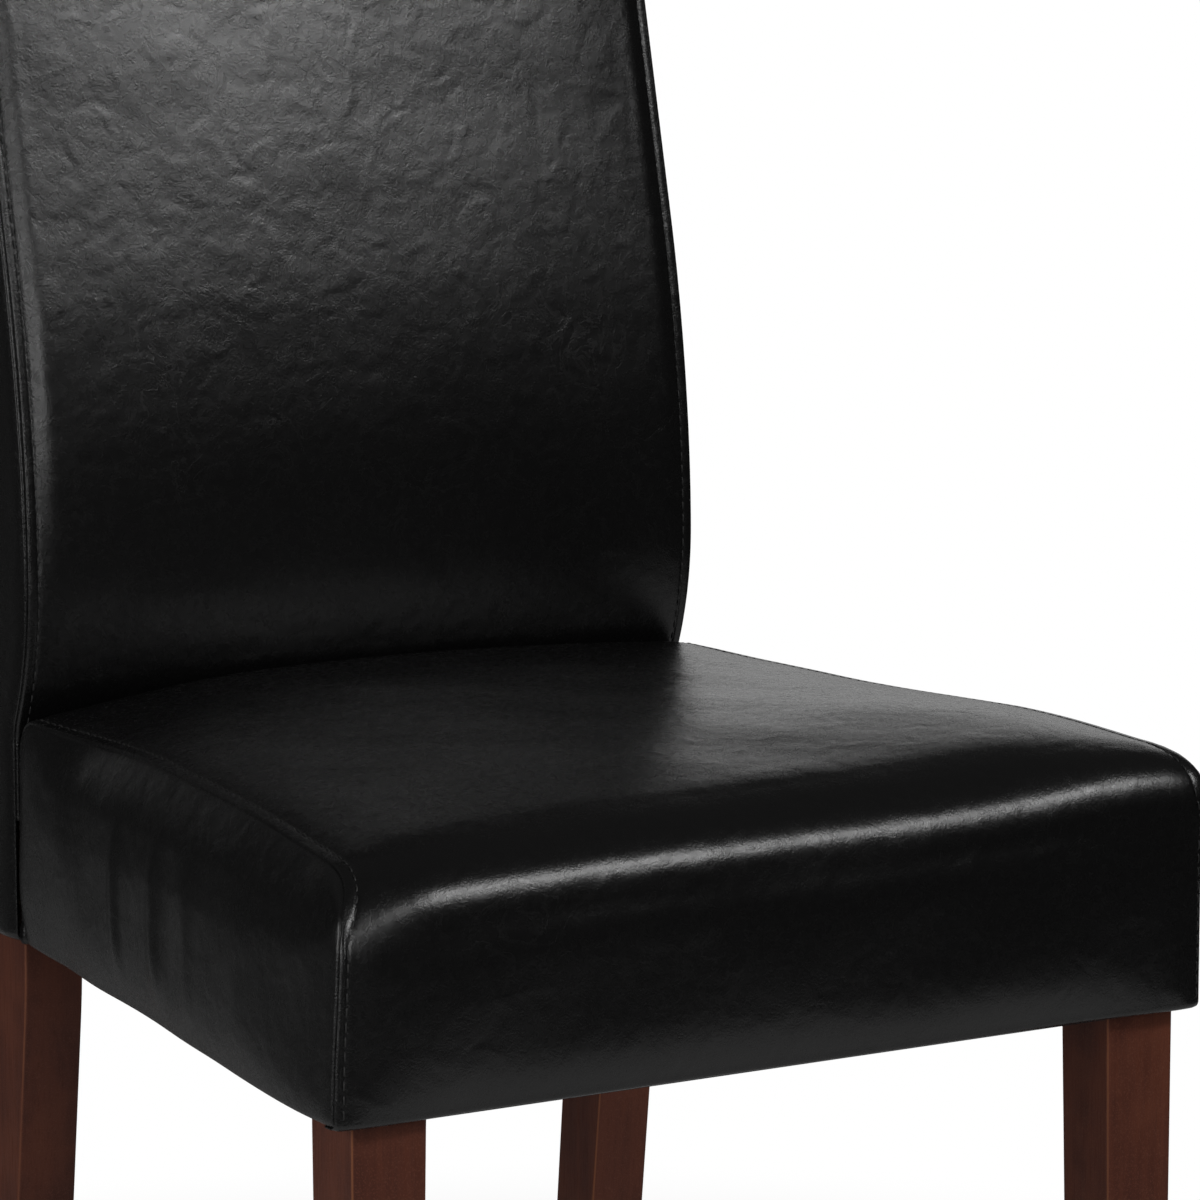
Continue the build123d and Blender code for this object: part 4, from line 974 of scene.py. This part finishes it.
def islands(mesh):  # the vertices of each separate strap
    form = bmesh.new()
    form.from_mesh(mesh)
    bmesh.ops.remove_doubles(form, verts=form.verts, dist=strapSet["weld"])
    left, groups = set(form.verts), []
    while left:
        heap, group = [left.pop()], []
        while heap:
            vert = heap.pop()
            group.append(vert.co.copy())
            for edge in vert.link_edges:
                other = edge.other_vert(vert)
                if other in left:
                    left.remove(other)
                    heap.append(other)
        groups.append(np.array(group))
    form.free()
    return sorted(groups, key=lambda g: tuple(np.round(g.mean(0), 4)))


def readStrap(tree, stations, offsets, axes):  # a strap's lower and upper face, read by rays
    length, width, depth = axes
    inset = strapSet["rayInset"]
    found = np.full((len(stations), len(offsets), 2), np.nan)
    for i, a in enumerate(np.clip(stations, stations[0] + inset, stations[-1] - inset)):
        for j, b in enumerate(np.clip(offsets, offsets[0] + inset, offsets[-1] - inset)):
            for k, way in enumerate((1, -1)):
                origin, ray = np.zeros(3), np.zeros(3)
                origin[length], origin[width], origin[depth], ray[depth] = a, b, -way, way
                hit = cast(tree, origin, ray)
                if hit is not None:
                    found[i, j, k] = hit[depth]
    for j in range(len(offsets)):  # a staple's hole is bridged from its neighbours
        thick = found[:, j, 1] - found[:, j, 0]
        thinnest, thickest = [share * np.nanmedian(thick) for share in strapSet["usualThick"]]
        good = np.isfinite(thick) & (thick > thinnest) & (thick < thickest)
        for k in (0, 1):
            found[:, j, k] = np.interp(stations, stations[good], found[good, j, k])
    return found


def addStraps(name, node, *axes):  # the axes that a strap runs along, across and through
    length, width, depth = axes
    tree = treeOf(node)
    corners, faces = [], []
    lanes = strapSet["lanes"]
    ring = 2 * lanes
    for group in islands(frame["nodes"][node].data):
        low, high = group.min(0), group.max(0)
        run = high[length] - low[length]
        if run < strapSet["shortest"]:
            continue
        stations = np.linspace(low[length], high[length], int(run / strapSet["station"]) + 1)
        offsets = np.linspace(low[width], high[width], lanes)
        heights = readStrap(tree, stations, offsets, axes)
        start, last = len(corners), len(stations) - 1
        for i, a in enumerate(stations):
            sag = strapSet["sag"] * math.sin(math.pi * i / last)
            for k, order in ((0, range(lanes)), (1, reversed(range(lanes)))):
                for j in order:
                    point = np.zeros(3)
                    point[length], point[width] = a, offsets[j]
                    edge = strapSet["selvedge"] if j in (0, lanes - 1) else 0.0
                    point[depth] = heights[i, j, k] + edge * (1 if k == 0 else -1) - sag
                    corners.append(point.tolist())
        for i in range(last):
            a, b = start + i * ring, start + (i + 1) * ring
            faces += [(a + s, b + s, b + (s + 1) % ring, a + (s + 1) % ring) for s in range(ring)]
        faces.append(tuple(start + s for s in range(ring)))
        faces.append(tuple(start + last * ring + s for s in reversed(range(ring))))
    mesh = bpy.data.meshes.new(name)
    mesh.from_pydata(corners, [], faces)
    form = bmesh.new()
    form.from_mesh(mesh)
    bmesh.ops.recalc_face_normals(form, faces=form.faces)
    form.to_mesh(mesh)
    form.free()
    mesh.shade_smooth()
    addPiece(name, mesh, "webbing", "webbing", node)
    print("straps laid:", name, len(mesh.vertices), "points")


addStraps("seat_straps_long", "seat_webbing_long", 1, 0, 2)
addStraps("seat_straps_cross", "seat_webbing_cross", 0, 1, 2)
addStraps("back_straps", "back_webbing", 0, 2, 1)

# the dust cloth under the seat, stapled all round and hanging a little
dustSet = {"cell": 9 * mm, "thick": 0.6 * mm, "sag": 5 * mm, "heldWidth": 14 * mm,
           "sagReach": 120 * mm, "frontBand": 60 * mm, "rearBand": 20 * mm,
           "pucker": 0.45 * mm, "puckerPitch": 38 * mm, "puckerReach": 26 * mm,
           "cut": 0.001 * mm, "weld": 0.02 * mm, "facingDown": -0.9}


def addDustCloth():
    form = bmesh.new()
    form.from_mesh(frame["nodes"]["dust_cover"].data)
    others = [f for f in form.faces if f.normal.z > dustSet["facingDown"]]
    bmesh.ops.delete(form, geom=others, context="FACES")  # the lower face alone is left
    low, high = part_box("dust_cover")
    flatArea = sum(f.calc_area() for f in form.faces)
    rim = [v.co.copy() for v in form.verts if v.is_boundary]
    for axis in (0, 1):
        for place in np.arange(low[axis] + dustSet["cell"], high[axis], dustSet["cell"]):
            spot, way = Vector((0, 0, 0)), Vector((0, 0, 0))
            spot[axis], way[axis] = place, 1
            geometry = list(form.verts) + list(form.edges) + list(form.faces)
            bmesh.ops.bisect_plane(form, geom=geometry, dist=dustSet["cut"],
                                   plane_co=spot, plane_no=way)
    bmesh.ops.remove_doubles(form, verts=form.verts, dist=dustSet["weld"])
    front = max(abs(c.x) for c in rim if c.y < low.y + dustSet["frontBand"])
    rear = max(abs(c.x) for c in rim if c.y > high.y - dustSet["rearBand"])
    held = dustSet["heldWidth"]
    for vert in form.verts:
        x, y = vert.co.x, vert.co.y
        half = front + (rear - front) * (y - low.y) / (high.y - low.y)
        inside = max(min(half - abs(x), y - low.y, high.y - y), 0)
        wave = math.sin((x + y) * 2 * math.pi / dustSet["puckerPitch"])
        wave = wave * math.exp(-inside / dustSet["puckerReach"])
        freed = float(smooth(inside, held, dustSet["sagReach"]))
        near = float(smooth(inside, held, held * 2))
        vert.co.z -= dustSet["sag"] * freed + dustSet["pucker"] * (1 + wave) * near
    mesh = bpy.data.meshes.new("underside_dust_cloth")
    form.to_mesh(mesh)
    form.free()
    mesh.shade_smooth()
    piece = addPiece("underside_dust_cloth", mesh, "dust_cloth", "dust_cloth", "dust_cover")
    hide = piece.modifiers.new("thickness", "SOLIDIFY")
    hide.thickness, hide.offset = dustSet["thick"], -1
    print("dust cloth laid:", round(flatArea, 4), "m2 of",
          round(high.x - low.x, 4), "by", round(high.y - low.y, 4), "m")


addDustCloth()

# a plain pale floor that turns white for the camera away from the chair
floorSet = {"tone": (0.80, 0.80, 0.80), "paler": 1.03, "grainSize": 25 * mm,
            "reach": 1.15, "corners": 96, "fade": (0.40, 1.0), "whiteNear": 0.45}


def makeFloor():
    finish = Finish("pale_floor")
    at = finish.place()
    distance = finish.node("ShaderNodeVectorMath", {"operation": "LENGTH"}, {0: at}, "Value")
    grain = finish.noise(at, floorSet["grainSize"], detail=3.0)
    paleTone = tuple(c * floorSet["paler"] for c in floorSet["tone"])
    tone = finish.blend(grain, floorSet["tone"], paleTone)
    shade = finish.node("ShaderNodeBsdfDiffuse", {}, {"Color": tone})
    white = finish.node("ShaderNodeEmission", {}, {"Color": (1, 1, 1, 1), "Strength": 1.0})
    seen = finish.node("ShaderNodeLightPath", out="Is Camera Ray")
    near = floorSet["whiteNear"]
    share = (near + (1 - near) * distance.step(*floorSet["fade"])) * seen
    mixed = finish.node("ShaderNodeMixShader", {}, {0: share, 1: shade, 2: white})
    finish.node("ShaderNodeOutputMaterial", {}, {"Surface": mixed})
    return finish.block


bpy.ops.mesh.primitive_circle_add(vertices=floorSet["corners"], radius=floorSet["reach"],
                                  fill_type="NGON", location=(0, 0, 0))
floor = bpy.context.object
floor.name = "pale_floor"
floor.data.materials.append(makeFloor())

# a dark room with pale areas in it
worldSet = {
    "room": 0.021,
    "slants": {"behind": (0.5, 0.866), "rearLeft": (-0.6, 0.8)},  # their parts east and north
    # each area: its strength, and along which directions it starts to show and is full
    "areas": {
        "overhead": (0.045, ("height", 0.2, 0.9)),
        "sweep": (0.90, ("behind", 0.77, 0.96), ("height", -0.05, 0.05), ("height", 0.41, 0.14)),
        "rearFloor": (0.17, ("north", 0.85, 0.93), ("east", 0.06, -0.12), ("height", -0.12, -0.27)),
        "leftWall": (0.11, ("east", -0.52, -0.66), ("east", -0.85, -0.66),
                     ("height", -0.36, -0.22), ("height", 0.25, 0.10)),
        "highLeft": (0.04, ("rearLeft", 0.2, 0.7), ("height", 0.28, 0.6)),
    },
}


def makeStudio():
    scene.world = bpy.data.worlds.new("studio")
    sky = Finish("studio", scene.world)
    way = sky.node("ShaderNodeTexCoord", out="Generated")
    east, north, height = [sky.node("ShaderNodeSeparateXYZ", {}, {0: way}, axis) for axis in "XYZ"]
    directions = {"east": east, "north": north, "height": height}
    for name, (eastPart, northPart) in worldSet["slants"].items():
        directions[name] = eastPart * east + northPart * north
    level = worldSet["room"]
    for area, *edges in worldSet["areas"].values():
        for direction, start, full in edges:
            area = area * directions[direction].step(start, full)
        level = level + area
    seen = sky.node("ShaderNodeLightPath", out="Is Camera Ray")
    strength = sky.node("ShaderNodeMix", {}, {
        "Factor_Float": seen, "A_Float": level, "B_Float": 1.0}, "Result_Float")
    light = sky.node("ShaderNodeBackground", {}, {"Color": (1, 1, 1, 1), "Strength": strength})
    sky.node("ShaderNodeOutputWorld", {}, {"Surface": light})


def lookAlong(way):  # turns a lamp or the camera, which look down their own -Z
    return way.to_track_quat("-Z", "Y").to_euler()


# each softbox: its place, where it points, its width and height, and its power
lampSet = {
    "key_softbox": ((1.314, -2.262, 2.470), (-0.016, 0.078, 0.75), 1.15, 0.46, 38.5),
    "left_strip": ((-0.60, -1.90, 1.20), (-0.19, 0.15, 0.80), 0.22, 1.15, 8.8),
    "left_fill": ((-2.10, -0.20, 0.90), (-0.10, 0.1, 0.25), 1.0, 1.1, 15),
}


def addLamp(name, place, target, width, tall, power):
    lamp = bpy.data.lights.new(name, "AREA")
    lamp.shape, lamp.size, lamp.size_y, lamp.energy = "RECTANGLE", width, tall, power
    holder = bpy.data.objects.new(name, lamp)
    scene.collection.objects.link(holder)
    holder.location = place
    holder.rotation_euler = lookAlong(Vector(target) - Vector(place))
    holder.visible_camera = False


cameraSet = {"place": (-1.3721, -2.3956, 0.9924), "azimuth": -30.85, "elevation": 9.23,
             "lens": 171.69, "sensor": 36}


def addCamera():
    lens = bpy.data.cameras.new("photo_camera")
    lens.lens, lens.sensor_width = cameraSet["lens"], cameraSet["sensor"]
    camera = bpy.data.objects.new("photo_camera", lens)
    scene.collection.objects.link(camera)
    camera.location = cameraSet["place"]
    a, e = math.radians(cameraSet["azimuth"]), math.radians(cameraSet["elevation"])
    camera.rotation_euler = lookAlong(
        Vector((-math.sin(a) * math.cos(e), math.cos(a) * math.cos(e), -math.sin(e))))
    scene.camera = camera


makeStudio()
for lampName, lampValues in lampSet.items():
    addLamp(lampName, *lampValues)
addCamera()
print("stage, lights and camera set")
